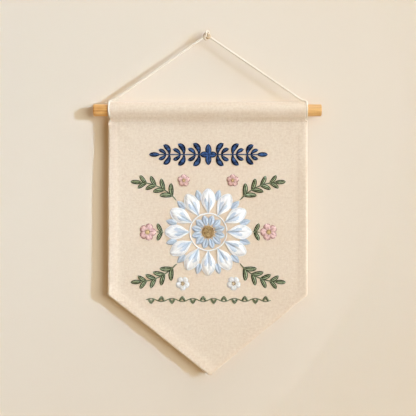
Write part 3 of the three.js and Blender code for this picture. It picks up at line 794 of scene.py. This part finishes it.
def makeCloth():
    # a grid in front and one behind, which share their outer rows and columns
    frontFace, backFace, run = clothShape()
    rows, columns = frontFace.shape[:2]
    index = np.arange(rows * columns).reshape(rows, columns)
    backIndex = index + rows * columns
    for edge in (np.s_[0, :], np.s_[-1, :], np.s_[:, 0], np.s_[:, -1]):
        backIndex[edge] = index[edge]
    fronts = np.stack([index[:-1, :-1], index[1:, :-1], index[1:, 1:], index[:-1, 1:]], -1)
    backs = np.stack([backIndex[:-1, :-1], backIndex[:-1, 1:], backIndex[1:, 1:], backIndex[1:, :-1]], -1)
    faces = np.concatenate([fronts.reshape(-1, 4), backs.reshape(-1, 4)])
    points = np.concatenate([frontFace.reshape(-1, 3), backFace.reshape(-1, 3)])
    used, packed = np.unique(faces, return_inverse=True)
    places = np.stack([points[:, 0] - clothEdges["left"], np.tile(np.repeat(run, columns), 2)], 1) * mm + 0.01
    packed, runs = packed.reshape(-1, 4), places[faces.ravel()]
    return makePiece("pennantCloth", "pennant_cloth", "linen", points[used], [packed], [runs])


clothPiece = makeCloth()
print("cloth made")


# Stitches: tubes laid on the cloth. Each has a centreline, a side direction, a half-width and a thickness

def layTubes(x, z, height, sideX, sideZ, halfWidth, thickness, tones, sides=4, under=None):
    # x, z and the rest are arrays of strands by rows; a ring's points are at even angles from side to top,
    # the other way round behind the cloth
    strands, rows = x.shape
    angle = 2 * math.pi * np.arange(sides) / sides
    reach = halfWidth[..., None] * np.cos(angle) * (1 if under is None else -1)
    rise = height[..., None] + thickness[..., None] * np.sin(angle)
    atX, atZ = x[..., None] + sideX[..., None] * reach, z[..., None] + sideZ[..., None] * reach
    points = onCloth(atX, atZ, rise, under)
    faces, runs = ringFaces(strands, rows, sides)
    length = np.hypot(x[:, -1] - x[:, 0], z[:, -1] - z[:, 0])
    scale = np.stack([length, np.ones(strands)], -1)
    shift = np.stack([rng.random(strands) * 7, np.zeros(strands)], -1)
    shapes = [(strands, *[1] * (part.ndim - 2), 2) for part in runs]
    runs = [part * scale.reshape(shape) + shift.reshape(shape) for part, shape in zip(runs, shapes)]
    return points.reshape(-1, 3), faces, runs, np.repeat(np.broadcast_to(tones, (strands, rows)), sides)


# Profiles along a stitch: its height, and its painted shade, how much darker it is painted where it dives
# into the cloth
satinProfile = np.array([[-0.12, 0.62, 0.98, 0.98, 0.62, -0.12], [-1.0, -0.4, 0.35, 0.35, -0.4, -1.0]])
veinProfile = np.array([[0.42, 0.9, 1.0, 0.9, 0.6, -0.1], [-1.0, -0.1, 0.4, 0.3, -0.3, -1.0]])
flatProfile = np.array([[-0.2, 0.8, 1.0, 0.8, -0.2], [-0.6, 0.1, 0.4, 0.1, -0.6]])
backProfile = np.array([[-0.3, 1.0, 1.0, -0.3], [0.0, 0.0, 0.0, 0.0]])

# How unevenly a hand works: where a stitch starts and how far out it ends, for leaning and straight ones, its
# height and tone, and how far off and how high the same thread lies behind
handSizes = {
    "leanStart": 0.15,
    "leanEnd": [0.97, 1.04],
    "straightStart": 0.12,
    "straightEnd": [0.98, 1.04],
    "height": 0.06,
    "tone": 0.6,
    "behind": 0.25,
    "behindRise": [0.12, 0.3],
}


def jitter(size, count):
    return rng.uniform(-size, size, count)


def drift(count, every=3.0):
    # a slow random change along a row of stitches, from -1 to 1
    marks = jitter(1, int(count / every) + 3)
    return np.interp(np.arange(count) / every + rng.uniform(0, 1), np.arange(len(marks)), marks)


def toTheLeft(ends):
    # the unit direction to the left of each run: ends are the x and z of its start and of its end
    startX, startZ, endX, endZ = ends
    length = np.hypot(endX - startX, endZ - startZ) + 1e-6
    return (startZ - endZ) / length, (endX - startX) / length


def stitches(ends, crest, profile, width, tones, edge=0.2, narrow=0.7, thickness=0.9, sides=4, under=None):
    # straight strands between their ends, where they narrow, dive into the cloth and get painted shade, edge
    # deep
    ends, (rise, paintedShade) = [part[:, None] for part in ends], profile
    share = np.linspace(0, 1, len(rise))
    x, z = blend(ends[0], ends[2], share), blend(ends[1], ends[3], share)
    half = np.full(x.shape, width / 2)
    half[:, [0, -1]] *= narrow
    tones, height = tones[:, None] + edge * paintedShade, crest[:, None] * rise
    return layTubes(x, z, height, *toTheLeft(ends), half, half * thickness, tones, sides, under)


def sewn(gathered, ends, crest, profile, width, tones, edge):
    # the stitches in front, and the same thread lying flatter on the cloth's back
    gathered.add(*stitches(ends, crest, profile, width, tones, edge))
    behind = ends + jitter(handSizes["behind"], (4, len(crest)))
    crest = rng.uniform(*handSizes["behindRise"], len(crest))
    gathered.add(*stitches(behind, crest, backProfile, width, tones, 0, 1, 0.8, sides=3, under=0))


class Field:
    # a leaf, petal or drop: the same spine and width formulas as the solid that it covers
    def __init__(self, x, z, angle, length, width, bow=0.0, full=0.5, height=1.0):
        self.x, self.z, self.length, self.width, self.bow, self.height = x, z, length, width, bow, height
        self.alongX, self.alongZ = math.cos(math.radians(angle)), math.sin(math.radians(angle))
        self.power = math.log(0.5) / math.log(full)

    def swell(self, t):
        return np.sin(np.pi * np.clip(t, 1e-6, 1 - 1e-6) ** self.power) ** 0.75

    def at(self, t, side=0.0):
        # the place at a share of the length, so many half-widths to the left of the spine
        aside = 4 * self.bow * self.length * t * (1 - t)
        x = self.x + self.alongX * self.length * t - self.alongZ * aside
        z = self.z + self.alongZ * self.length * t + self.alongX * aside
        lean = 4 * self.bow * (1 - 2 * t)
        tangentX, tangentZ = self.alongX - self.alongZ * lean, self.alongZ + self.alongX * lean
        size = np.hypot(tangentX, tangentZ)
        half = self.width / 2 * self.swell(t) * side
        return x - tangentZ / size * half, z + tangentX / size * half

    def crest(self, t):
        return self.height * (0.4 + 0.6 * self.swell(t))


def padShell(gathered, field, tone, fill=0.72, rows=12, sides=10):
    # the padding under the stitches: a low dome on the spine, sunk a little into the cloth, given a darker
    # tone as painted shade between them
    t = np.linspace(0.02, 0.98, rows)[None, :]
    x, z = field.at(t)
    edgeX, edgeZ = field.at(t, 1.0)
    half = np.hypot(edgeX - x, edgeZ - z)
    sideX, sideZ = (edgeX - x) / half, (edgeZ - z) / half
    thickness = fill * field.crest(t)
    gathered.add(*layTubes(x, z, -0.1 + 0 * x, sideX, sideZ, half * 0.97, thickness, tone, sides=sides))


def evenly(count, uneven):
    # even places along a field, each moved a little by hand
    return (np.arange(count) + 0.5 + jitter(uneven, count)) / count


def fillRow(gathered, field, ends, fadeAt, middle, profile, width, tone, spread, fade, edge):
    # a row of stitches over the padding; tones change slowly and quickly, and fade along the field
    count = len(middle)
    tones = tone + spread * (drift(count) + jitter(handSizes["tone"], count)) + fade * (fadeAt - 0.5)
    crest = field.crest(middle) * (1 + handSizes["height"] * drift(count))
    sewn(gathered, np.array(ends), crest, profile, width, tones, edge)


def leanOut(reach, start):
    # how much further along the spine a leaning stitch ends than it starts: less towards the tip
    return reach * (1.4 - 0.6 * start)


def veinedField(
    gathered, field, pitch=0.46, width=0.54, slant=0.55, tones=(0.35, 0.6), spread=0.1, fade=0.0, edge=0.3,
):
    # two rows of stitches that lean from the middle vein out to the edges, over padding painted darker as
    # shade
    padShell(gathered, field, min(tones) - 0.2)
    count = max(6, int(field.length / pitch))
    reach = slant * field.width / 2 / field.length
    for side, tone in ((1, tones[0]), (-1, tones[1])):
        start = evenly(count, handSizes["leanStart"]) * 0.97 - reach * 0.4
        end = np.clip(start + leanOut(reach, np.clip(start, 0, 1)), 0.03, 0.992)
        start = np.clip(start, 0.005, 0.985)
        out = side * rng.uniform(*handSizes["leanEnd"], count)
        ends, middle = [*field.at(start, -0.02 * side), *field.at(end, out)], (start + end) / 2
        fillRow(gathered, field, ends, start, middle, veinProfile, width, tone, spread, fade, edge)


def satinField(gathered, field, pitch=0.46, width=0.54, slant=0.35, tone=0.5, spread=0.12, edge=0.3):
    # one row of stitches straight across, leaning a little, over padding painted darker as shade
    padShell(gathered, field, tone - 0.25)
    count = max(5, int(field.length / pitch))
    middle = evenly(count, handSizes["straightStart"])
    lean = slant * field.width / 2 / field.length * field.swell(middle)
    low, high = np.clip([middle - lean, middle + lean], 0.01, 0.99)
    out = rng.uniform(*handSizes["straightEnd"], (2, count))
    ends = [*field.at(low, out[0]), *field.at(high, -out[1])]
    fillRow(gathered, field, ends, middle, middle, satinProfile, width, tone, spread, 0, edge)


def stemStitches(
    gathered, x, z, tone, width=0.75, spacing=1.05, overlap=3.3, crest=0.5, aside=0.36, through=True,
):
    # slanting stitches that each start beside the middle of the last, like a rope along the line
    run = runAlong(np.stack([x, z], 1))
    count = max(2, int((run[-1] - overlap) / spacing) + 1)
    start = np.linspace(0, max(run[-1] - overlap, 0.1), count)
    end = start + min(overlap, run[-1])
    ends = np.array([np.interp(at, run, axis) for at in (start, end) for axis in (x, z)])
    off = aside * np.array(toTheLeft(ends))
    tones, lift = tone + jitter(0.1, count), np.full(count, crest)
    gathered.add(*stitches(ends + [*off, *-off], lift, flatProfile, width, tones))
    if through:
        gathered.add(*stitches(ends, lift * 0.3, flatProfile, width, tones, under=0))


def outlined(gathered, field, tone, width=0.8, inset=0.9, spacing=1.1, overlap=1.9, start=0.03, slant=0.12):
    # a row of stem stitches along both edges of a field, from its root to its tip, at about half its height
    t = np.linspace(start, 0.97, 40)
    crest = 0.55 * field.crest(0.5)
    for side in (1, -1):
        x, z = field.at(t, side * inset)
        stemStitches(gathered, x, z, tone, width, spacing, overlap, crest, side * slant, False)


# A French knot's thread, in shares of the knot's radius, and how high it lies behind the cloth
beadSizes = {"wind": 0.5, "wobble": 0.16, "thick": 0.52, "flat": 0.75, "run": 3.2, "behind": 0.18}


def knotBeads(gathered, x, z, height, radius, tone):
    # French knots: thread wound into small rings that are nearly closed, each with a few turns showing; the
    # ring runs anticlockwise seen from the front, so its side direction points to its middle
    rows, sides, strands, b = 12, 7, len(x), beadSizes
    turn = np.linspace(0, 2 * math.pi, rows, endpoint=False)
    angle = 2 * math.pi * np.arange(sides) / sides
    wobble = 1 + b["wobble"] * np.sin(3 * turn + rng.uniform(0, 6, (strands, 1)))
    reach = radius * (b["wind"] * wobble[..., None] - b["thick"] * np.cos(angle))
    atX = x[:, None, None] + reach * np.cos(turn)[:, None]
    atZ = z[:, None, None] + reach * np.sin(turn)[:, None]
    rise = height[:, None, None] + radius * b["thick"] * b["flat"] * np.sin(angle) + 0 * reach
    faces, runs = ringFaces(strands, rows, sides, closed=True)
    runs = [part * [radius * b["run"], 1.0] for part in runs]
    tones = np.repeat(tone + jitter(0.2, strands), rows * sides)
    gathered.add(onCloth(atX, atZ, rise).reshape(-1, 3), faces, runs, tones)
    # behind, the thread runs on from each knot to the next
    ends, lift = (x[:-1], z[:-1], x[1:], z[1:]), np.full(strands - 1, b["behind"])
    gathered.add(*stitches(ends, lift, flatProfile, radius, (tone + 0 * x)[1:], under=0))


# The embroidery's layout, as on the solids. Heights are the solids' and a little more, for the thread

raised = {"navy": 1.3, "cross": 1.35, "leaf": 1.1, "flower": 1.25, "flowerEye": 1.35, "border": 0.95}
flourish = {"x": 1, "z": -123, "stem": 52, "bud": 49, "budWidth": 4.2, "halfLength": 59.5}
rosette = {"x": 0.8, "z": -200.5, "petals": 12, "ring": 18.6, "eye": 6.3, "knot": 1.9, "knotTone": 0.36}
border = {"x": 1, "z": -268.5, "length": 125, "waves": 6, "rise": 1.7, "leaf": 6, "leafWidth": 2.8}


# Navy flourish. Columns: distance from the middle, heading, length, width, bow
drops = [
    [9.5, 62, 12.4, 5.2, -0.2],
    [13, 36, 9.4, 3.6, -0.16],
    [24.5, 60, 12, 5, -0.2],
    [28, 34, 9, 3.4, -0.16],
    [39, 57, 11.2, 4.7, -0.2],
    [42.5, 31, 8.6, 3.2, -0.16],
]
# edge: how deep the painted shade is where a stitch dives in
navyFill = {"tone": 0.44, "spread": 0.44, "edge": 0.55}
navyVeined = {"tones": (0.38, 0.64), "spread": 0.36, "edge": 0.55}
navyOutline = {"tone": -0.28, "width": 1.0, "inset": 0.88, "spacing": 0.9, "overlap": 2.7, "slant": 0.3}


def makeFlourish():
    # on each side of the middle a stem with pairs of drops and a bud, and a cross of four leaves between
    gathered = Gatherer()
    middleX, middleZ = flourish["x"], flourish["z"]
    stem = np.linspace(-flourish["stem"], flourish["stem"], 80)
    stemStitches(gathered, middleX + stem, middleZ + 0 * stem, 0.3, crest=0.55)
    for side, outward in ((1, 0), (-1, 180)):
        for distance, heading, length, width, bow in drops:
            for up in (1, -1):
                place = middleX + side * distance, middleZ, outward + side * up * heading
                drop = Field(*place, length, width, -side * up * bow, 0.62, raised["navy"])
                satinField(gathered, drop, slant=0.5 * up * side, **navyFill)
                outlined(gathered, drop, **navyOutline)
        budX, budLength = middleX + side * flourish["bud"], flourish["halfLength"] - flourish["bud"]
        bud = Field(budX, middleZ, outward, budLength, flourish["budWidth"], height=raised["navy"])
        satinField(gathered, bud, **navyFill)
        outlined(gathered, bud, **navyOutline)
    for angle, length in ((0, 8.5), (90, 10.6), (180, 8.5), (270, 10.6)):
        leaf = Field(middleX, middleZ, angle, length, 6, full=0.45, height=raised["cross"])
        veinedField(gathered, leaf, **navyVeined)
        outlined(gathered, leaf, **navyOutline)
    return gathered.piece("navyFlourish", "navy_flourish", "navy")


# Rings of the rosette. Columns: from, to, width, where it is fullest, height, and turned by
rosetteRings = {
    "petal": [18.6, 44, 14.6, 0.58, 1.7, 0],
    "dart": [32.5, 43.6, 6.4, 0.45, 0.9, 15],
    "heart": [6.9, 17.2, 7, 0.5, 1.3, 15],
}
# edge: how deep the painted shade is where a stitch dives in
petalFill = {"pitch": 0.5, "width": 0.58, "slant": 1.15, "tones": (0.76, 0.9), "spread": 0.24, "edge": 0.5}
petalOutline = {"tone": 0.85, "width": 0.85, "inset": 0.94, "spacing": 1.3, "overlap": 2.4, "start": 0.3}
rootSizes = {"until": 0.62, "spread": 0.8, "pitch": 0.46, "halfWidth": 0.27, "above": 0.16, "dive": 0.3}


def radial(x, z, reach, angle):
    # the place so far out from a middle
    turn = np.radians(angle)
    return x + reach * np.cos(turn), z + reach * np.sin(turn)


def ringOf(count, x, z, start, end, width, full, height, turned):
    # so many equal petals or leaves round a middle
    angles = [360 * i / count + turned for i in range(count)]
    return [Field(*radial(x, z, start, a), a, end - start, width, full=full, height=height) for a in angles]


def rosetteRing(kind):
    return ringOf(rosette["petals"], rosette["x"], rosette["z"], *rosetteRings[kind])


def shadedRoot(gathered, petal):
    # long and short stitches over a petal's root: each covers less of the way to the edge than the last, and
    # every second one is shorter
    until = rootSizes["until"]
    count = int(petal.length * until / rootSizes["pitch"])
    reach = 1.15 * petal.width / 2 / petal.length
    rise, paintedShade = veinProfile
    even = np.linspace(0, 1, len(rise))
    for side, tone in ((1, 0.5), (-1, 0.68)):
        share = (np.arange(count) + 0.5) / count
        start = share * until * 0.97 + 0.01
        run = leanOut(reach, start)
        cover = rootSizes["spread"] * (1 - 0.75 * share**1.6) * (1 - 0.16 * (np.arange(count) % 2))
        along = even * (cover * rng.uniform(0.92, 1.05, count))[:, None]
        x, z = petal.at(start[:, None] + run[:, None] * along, side * along)
        height = petal.crest(start + run / 2)[:, None] * np.interp(along, even, rise) + rootSizes["above"]
        height[:, -1] -= rootSizes["dive"]
        left = toTheLeft([x[:, :1], z[:, :1], x[:, -1:], z[:, -1:]])
        half = np.full(x.shape, rootSizes["halfWidth"])
        tones = tone + 0.1 * drift(count) + jitter(0.08, count) + 0.25 * share
        # each stitch is painted darker where it dives in: painted shade
        gathered.add(*layTubes(x, z, height, *left, half, half * 0.9, tones[:, None] + 0.3 * paintedShade))


def makeRosettePetals():
    gathered = Gatherer()
    for petal in rosetteRing("petal"):
        veinedField(gathered, petal, **petalFill)
        outlined(gathered, petal, **petalOutline)
    ring = radial(rosette["x"], rosette["z"], rosette["ring"], np.linspace(0, 360, 160))
    stemStitches(gathered, *ring, 0.75, width=0.9, crest=0.75, aside=0.45)
    return gathered.piece("rosettePetals", "rosette_petals", "white")


def makeRosetteDarts():
    gathered = Gatherer()
    for dart in rosetteRing("dart"):
        veinedField(gathered, dart, tones=(0.5, 0.7))
    for petal in rosetteRing("petal"):
        shadedRoot(gathered, petal)
    return gathered.piece("rosetteDarts", "rosette_petals", "paleBlue")


def makeRosetteHeart():
    gathered = Gatherer()
    for petal in rosetteRing("heart"):
        veinedField(gathered, petal, tones=(0.5, 0.72), edge=0.42)
    return gathered.piece("rosetteHeart", "rosette_heart", "paleBlue")


def beadRings(radius, bead):
    # places of French knots: one in the middle and rings of them round it
    places = [np.zeros((2, 1))]
    outer = radius - bead / 2
    rings = int(outer / (bead * 0.92))
    for ring in range(1, rings + 1):
        turn = 360 * (np.arange(6 * ring) + 0.3 * ring) / (6 * ring)
        places.append(np.array(radial(0, 0, outer * ring / rings, turn)))
    return np.concatenate(places, 1)


def makeRosetteEye():
    # knots on a low round pad, highest in the middle; the pad is painted darker as shade between them
    gathered = Gatherer()
    middleX, middleZ, radius, bead = [rosette[key] for key in ("x", "z", "eye", "knot")]
    x, z = beadRings(radius, bead)
    dome = 0.55 + 0.75 * (1 - (np.hypot(x, z) / radius) ** 2)
    pad = Field(middleX - radius, middleZ, 0, 2 * radius, 2 * radius, height=1.0)
    padShell(gathered, pad, 0.2, fill=0.9, rows=16, sides=12)
    knotBeads(gathered, middleX + x, middleZ + z, dome, bead * 0.56, rosette["knotTone"])
    return gathered.piece("rosetteEye", "rosette_eye", "ochre")


# Sprigs. Columns: node, root x and z from the rosette's centre, heading, stem, bend, pairs, leaf's two sizes
sprigs = [
    ["sprig_upper_right", 31.8, 31.8, 50, 42, -48, 4, 13, 5],
    ["sprig_upper_left", -31.8, 31.8, 130, 42, 48, 4, 13, 5],
    ["sprig_lower_right", 31.8, -31.8, -50, 42, 48, 4, 13, 5],
    ["sprig_lower_left", -31.8, -31.8, -130, 42, -48, 4, 13, 5],
    ["sprig_right", 44.6, 0, 0, 7, 0, 1, 10, 4],
    ["sprig_left", -44.6, 0, 180, 7, 0, 1, 10, 4],
]
# a leaf's filling is narrower than its solid, because the outline's stitches stand out past it
leafInside = 0.86
# edge: how deep the painted shade is where a stitch dives in
leafFill = {"spread": 0.24, "edge": 0.42}
leafOutline = {"tone": -0.24, "width": 1.05, "inset": 0.88, "spacing": 1.0, "overlap": 3.0, "slant": 0.34}
leafVein = {"tone": -0.2, "width": 0.8, "spacing": 1.1, "aside": 0.08, "through": False}


def arcPlace(x, z, angle, length, bend, t):
    # places along an arc that starts with a heading and turns evenly over its length, and the heading there
    middle, half = np.radians(angle + bend * t / 2), np.radians(bend * t) / 2
    chord = length * t * np.sinc(half / np.pi)
    return x + chord * np.cos(middle), z + chord * np.sin(middle), angle + bend * t


def makeLeaf(gathered, place, length, width, bow, side):
    # pale halves inside a dark outline, with a dark vein
    field = Field(*place, length, leafInside * width, bow, height=raised["leaf"])
    veinedField(gathered, field, tones=(0.42, 0.74) if side > 0 else (0.74, 0.42), **leafFill)
    outlined(gathered, field, **leafOutline)
    veinX, veinZ = field.at(np.linspace(0.04, 0.84, 14))
    stemStitches(gathered, veinX, veinZ, crest=field.height * 0.98, **leafVein)


def makeSprig(cadNode, rootX, rootZ, angle, length, bend, pairs, leaf, leafWidth):
    # pairs of leaves along a bent stem, each pair smaller than the last, and one leaf at a long sprig's end
    gathered = Gatherer()
    arc = rosette["x"] + rootX, rosette["z"] + rootZ, angle, length, bend
    stemStitches(gathered, *arcPlace(*arc, np.linspace(0, 1, 60))[:2], 0.2, width=0.9, crest=0.55, aside=0.34)
    long = pairs > 1
    shares = [0.14 + 0.7 * i / (pairs - 1) for i in range(pairs)] if long else [0.2]
    for i, share in enumerate(shares):
        atX, atZ, facing = arcPlace(*arc, share)
        size = 1 - 0.07 * i
        for side in (1, -1):
            place = atX, atZ, facing + side * (42 if long else 62)
            makeLeaf(gathered, place, leaf * size, leafWidth * size, -side * 0.06, side)
    if long:
        makeLeaf(gathered, arcPlace(*arc, 0.96), leaf * 0.85, leafWidth * 0.85, 0.0, 1)
    return gathered.piece(cadNode.replace("_", "") + "Threads", cadNode, "green")


# Flowers. Columns: node, x and z from the rosette's centre, radius, first petal's angle, thread, outline tone
flowers = [
    ["flower_right", 60.6, 0, 8.5, 36, "pink", 0.12],
    ["flower_left", -60.6, 0, 8.5, 0, "pink", 0.12],
    ["flower_upper_right", 24.5, 51.5, 6.2, 90, "pink", 0.12],
    ["flower_upper_left", -24.5, 51.5, 6.2, 90, "pink", 0.12],
    ["flower_lower_right", 25.5, -51.5, 7, -90, "white", 0.25],
    ["flower_lower_left", -25.5, -51.5, 7, -90, "white", 0.25],
]
# edge: how deep the painted shade is where a stitch dives in
flowerFill = {"pitch": 0.42, "slant": 0.8, "tones": (0.7, 0.86), "spread": 0.12, "fade": 0.5, "edge": 0.34}
flowerOutline = {"width": 0.6, "inset": 0.94, "overlap": 1.6, "start": 0.3}
flowerSizes = {"petals": 5, "petalStart": 0.1, "petalWidth": 0.86, "full": 0.68, "eye": 0.3, "knot": 1.05}


def makeFlower(cadNode, offX, offZ, radius, first, thread, outlineTone):
    # five petals round a dome of small knots, which are darker towards its edge
    petals, eye, f = Gatherer(), Gatherer(), flowerSizes
    x, z = rosette["x"] + offX, rosette["z"] + offZ
    start, width, eyeRadius = [radius * f[key] for key in ("petalStart", "petalWidth", "eye")]
    for petal in ringOf(f["petals"], x, z, start, radius, width, f["full"], raised["flower"], first):
        veinedField(petals, petal, **flowerFill)
        outlined(petals, petal, outlineTone, **flowerOutline)
    beadX, beadZ = beadRings(eyeRadius, f["knot"])
    out = np.hypot(beadX, beadZ) / eyeRadius
    knotBeads(eye, x + beadX, z + beadZ, raised["flowerEye"] - 0.3 * out, 0.66, 1.0 - 0.75 * out)
    name = cadNode.replace("_", "")
    return [petals.piece(name + "Petals", cadNode, thread), eye.piece(name + "Eye", cadNode, "ochre")]


borderFill = {"pitch": 0.42, "tones": (0.24, 0.5), "spread": 0.16}


def makeBorder():
    # a wavy stem with a pair of leaves on each crest
    gathered = Gatherer()
    half = border["length"] / (2 * border["waves"])
    x = np.linspace(-border["length"] / 2, border["length"] / 2, 400)
    wave = border["rise"] * np.sin(np.pi * x / half)
    stem = {"width": 0.62, "spacing": 1.0, "overlap": 2.6, "aside": 0.26}
    stemStitches(gathered, border["x"] + x, border["z"] + wave, 0.25, **stem)
    for i in range(2 * border["waves"]):
        middle = (i + 0.5) * half - border["length"] / 2
        crest = math.copysign(1, math.sin(math.pi * middle / half))
        for side, outward in ((1, 0), (-1, 180)):
            rootX = border["x"] + middle - side * half * 0.3
            rootZ = border["z"] + crest * border["rise"] * 0.75
            heading, width = outward - side * crest * 62, leafInside * border["leafWidth"]
            leaf = Field(
                rootX, rootZ, heading, border["leaf"], width, side * crest * 0.08, height=raised["border"],
            )
            veinedField(gathered, leaf, **borderFill)
    return gathered.piece("greenBorder", "green_border", "green")


embroidery = [makeFlourish(), makeRosettePetals(), makeRosetteDarts(), makeRosetteHeart(), makeRosetteEye()]
embroidery += [makeSprig(*sprig) for sprig in sprigs]
for flower in flowers:
    embroidery += makeFlower(*flower)
embroidery.append(makeBorder())
print("embroidery made")


# Sewing: the seam under the sleeve, in front and behind, and the hem's catch stitches behind

seamSizes = {
    "fromEnds": [1.2, 3],
    "tones": [0.3, 0.7],
    "drop": 12.6,
    "pitch": 3.1,
    "stitch": 2.3,
    "slant": 0.06,
    "width": 0.4,
    "rise": 0.14,
    "aboveFlapEnd": 2.4,
    "hemPitch": 5.5,
    "hemRise": 0.2,
    "hemSlant": 1.2,
    "hemTop": 104,
    "aboveCorner": 6,
}


def makeSewing():
    gathered, s, c = Gatherer(), seamSizes, clothSizes
    left, right = clothEdges["left"], clothEdges["right"]
    start = np.arange(left + s["fromEnds"][0], right - s["fromEnds"][1], s["pitch"])
    z = np.full(len(start), dowelSizes["z"] - s["drop"])
    crest, tones = s["rise"] + 0 * z, rng.uniform(*s["tones"], len(z))
    onFlap, onHem = c["thickness"] + 0.02, c["hemThickness"] * 0.8
    for line, under in ((z, None), (z, onFlap), (z - sleeveSizes["flap"] + s["aboveFlapEnd"], onFlap)):
        ends = start, line, start + s["stitch"], line + s["slant"]
        gathered.add(*stitches(ends, crest, flatProfile, s["width"], tones, under=under))
    z = -np.arange(-c["leftCornerZ"] - s["aboveCorner"], s["hemTop"], -s["hemPitch"])[::-1]
    crest = s["hemRise"] + 0 * z
    inside, outside = [c["hemWidth"] + share + 0 * z for share in c["hemStep"]]
    for side, edge in ((1, left), (-1, right)):
        ends = edge + side * inside, z, edge + side * outside, z - s["hemSlant"]
        tones = rng.uniform(*s["tones"], len(z))
        gathered.add(*stitches(ends, crest, flatProfile, s["width"], tones, under=onHem))
    return gathered.piece("sewing", None, "natural")


sewingPiece = makeSewing()

print("sewing made")


# Stage: a plain pale wall close behind, a plain pale floor, and soft studio light

stageSizes = {"wallY": 9.8, "half": 1600, "floorZ": -1350, "wallTop": 1100}


def plainMaterial(name, colour, deeper, oneSided):
    material, g, shader = newMaterial(name, 0.95, 0.1)
    g.feed(shader["Base Color"], g.mix(g.noise(g.place(), 3, 2), colour, deeper))
    if oneSided:
        # seen from behind, and for light that comes from behind, the wall isn't there
        nodes = material.node_tree.nodes
        backfacing = g.node("ShaderNodeNewGeometry").outputs["Backfacing"]
        shadow = g.node("ShaderNodeLightPath").outputs["Is Shadow Ray"]
        clear = g.node("ShaderNodeBsdfTransparent").outputs[0]
        hidden = g.math("MAXIMUM", backfacing, shadow)
        mixed = g.mixShader(hidden, nodes["Principled BSDF"].outputs[0], clear)
        g.feed(nodes["Material Output"].inputs[0], mixed)
    return material


def makeStage(name, corners, material):
    mesh = bpy.data.meshes.new(name)
    mesh.from_pydata([tuple(np.array(corner) * mm) for corner in corners], [], [(0, 1, 2, 3)])
    mesh.materials.append(material)
    plane = bpy.data.objects.new(name, mesh)
    bpy.context.scene.collection.objects.link(plane)


wallY, half, low, high = [stageSizes[key] for key in ("wallY", "half", "floorZ", "wallTop")]
makeStage(
    "wall",
    [(-half, wallY, low), (half, wallY, low), (half, wallY, high), (-half, wallY, high)],
    plainMaterial("wallPaint", linear(232, 217, 195), linear(228, 212, 189), True),
)
makeStage(
    "floor",
    [(-half, -half, low), (half, -half, low), (half, half, low), (-half, half, low)],
    plainMaterial("floorPaint", linear(232, 224, 212), linear(228, 219, 206), False),
)


# Lights. Columns: name, place in metres, where it aims, size, watts, colour, spread in degrees
lights = [
    ["hardKey", (4.0, -2.93, 0.65), (-0.6, 0, -0.18), 0.4, 356.0, (0.472, 0.67, 1.0), 17],
    ["softKey", (2.65, -3.73, 0.15), (0, 0, -0.18), 2.8, 165.0, (0.75, 0.79, 0.77), 180],
    ["above", (0.4, -0.8, 2.0), (0, 0, -0.18), 1.0, 25.0, (0.78, 0.88, 0.98), 180],
    ["behind", (-0.9, 2.0, 0.8), (0, 0, -0.18), 1.6, 30.0, (0.95, 0.95, 0.95), 180],
]


def makeLight(name, place, aim, size, watts, colour, spread):
    # a narrowed light is brighter along its axis by tan h / (tan h - h), with h half the spread; that is
    # divided out
    data = bpy.data.lights.new(name, "AREA")
    half = math.radians(spread) / 2
    gain = math.tan(half) / (math.tan(half) - half) if spread < 180 else 1
    data.shape, data.size, data.energy, data.color = "DISK", size, watts / gain, colour
    data.spread = 2 * half
    lamp = bpy.data.objects.new(name, data)
    lamp.location = place
    away = np.array(place) - np.array(aim)
    tilt, heading = math.acos(away[2] / np.linalg.norm(away)), math.atan2(away[1], away[0])
    lamp.rotation_euler = (tilt, 0, heading + math.pi / 2)
    bpy.context.scene.collection.objects.link(lamp)


for light in lights:
    makeLight(*light)


def makeWorld():
    # warm light from all round; the camera itself sees a plain pale room
    world = bpy.data.worlds.new("studio")
    world.use_nodes = True
    nodes = world.node_tree.nodes
    g = Graph(world.node_tree)
    warm = nodes["Background"]
    warm.inputs[0].default_value = (1.0, 0.58, 0.12, 1)
    warm.inputs[1].default_value = 0.22
    pale = g.node("ShaderNodeBackground", {0: linear(228, 217, 202)})
    seen = g.node("ShaderNodeLightPath").outputs["Is Camera Ray"]
    g.feed(nodes["World Output"].inputs[0], g.mixShader(seen, warm.outputs[0], pale.outputs[0]))
    bpy.context.scene.world = world


makeWorld()
bpy.context.scene.view_settings.view_transform = "Standard"
print("stage and lights made")
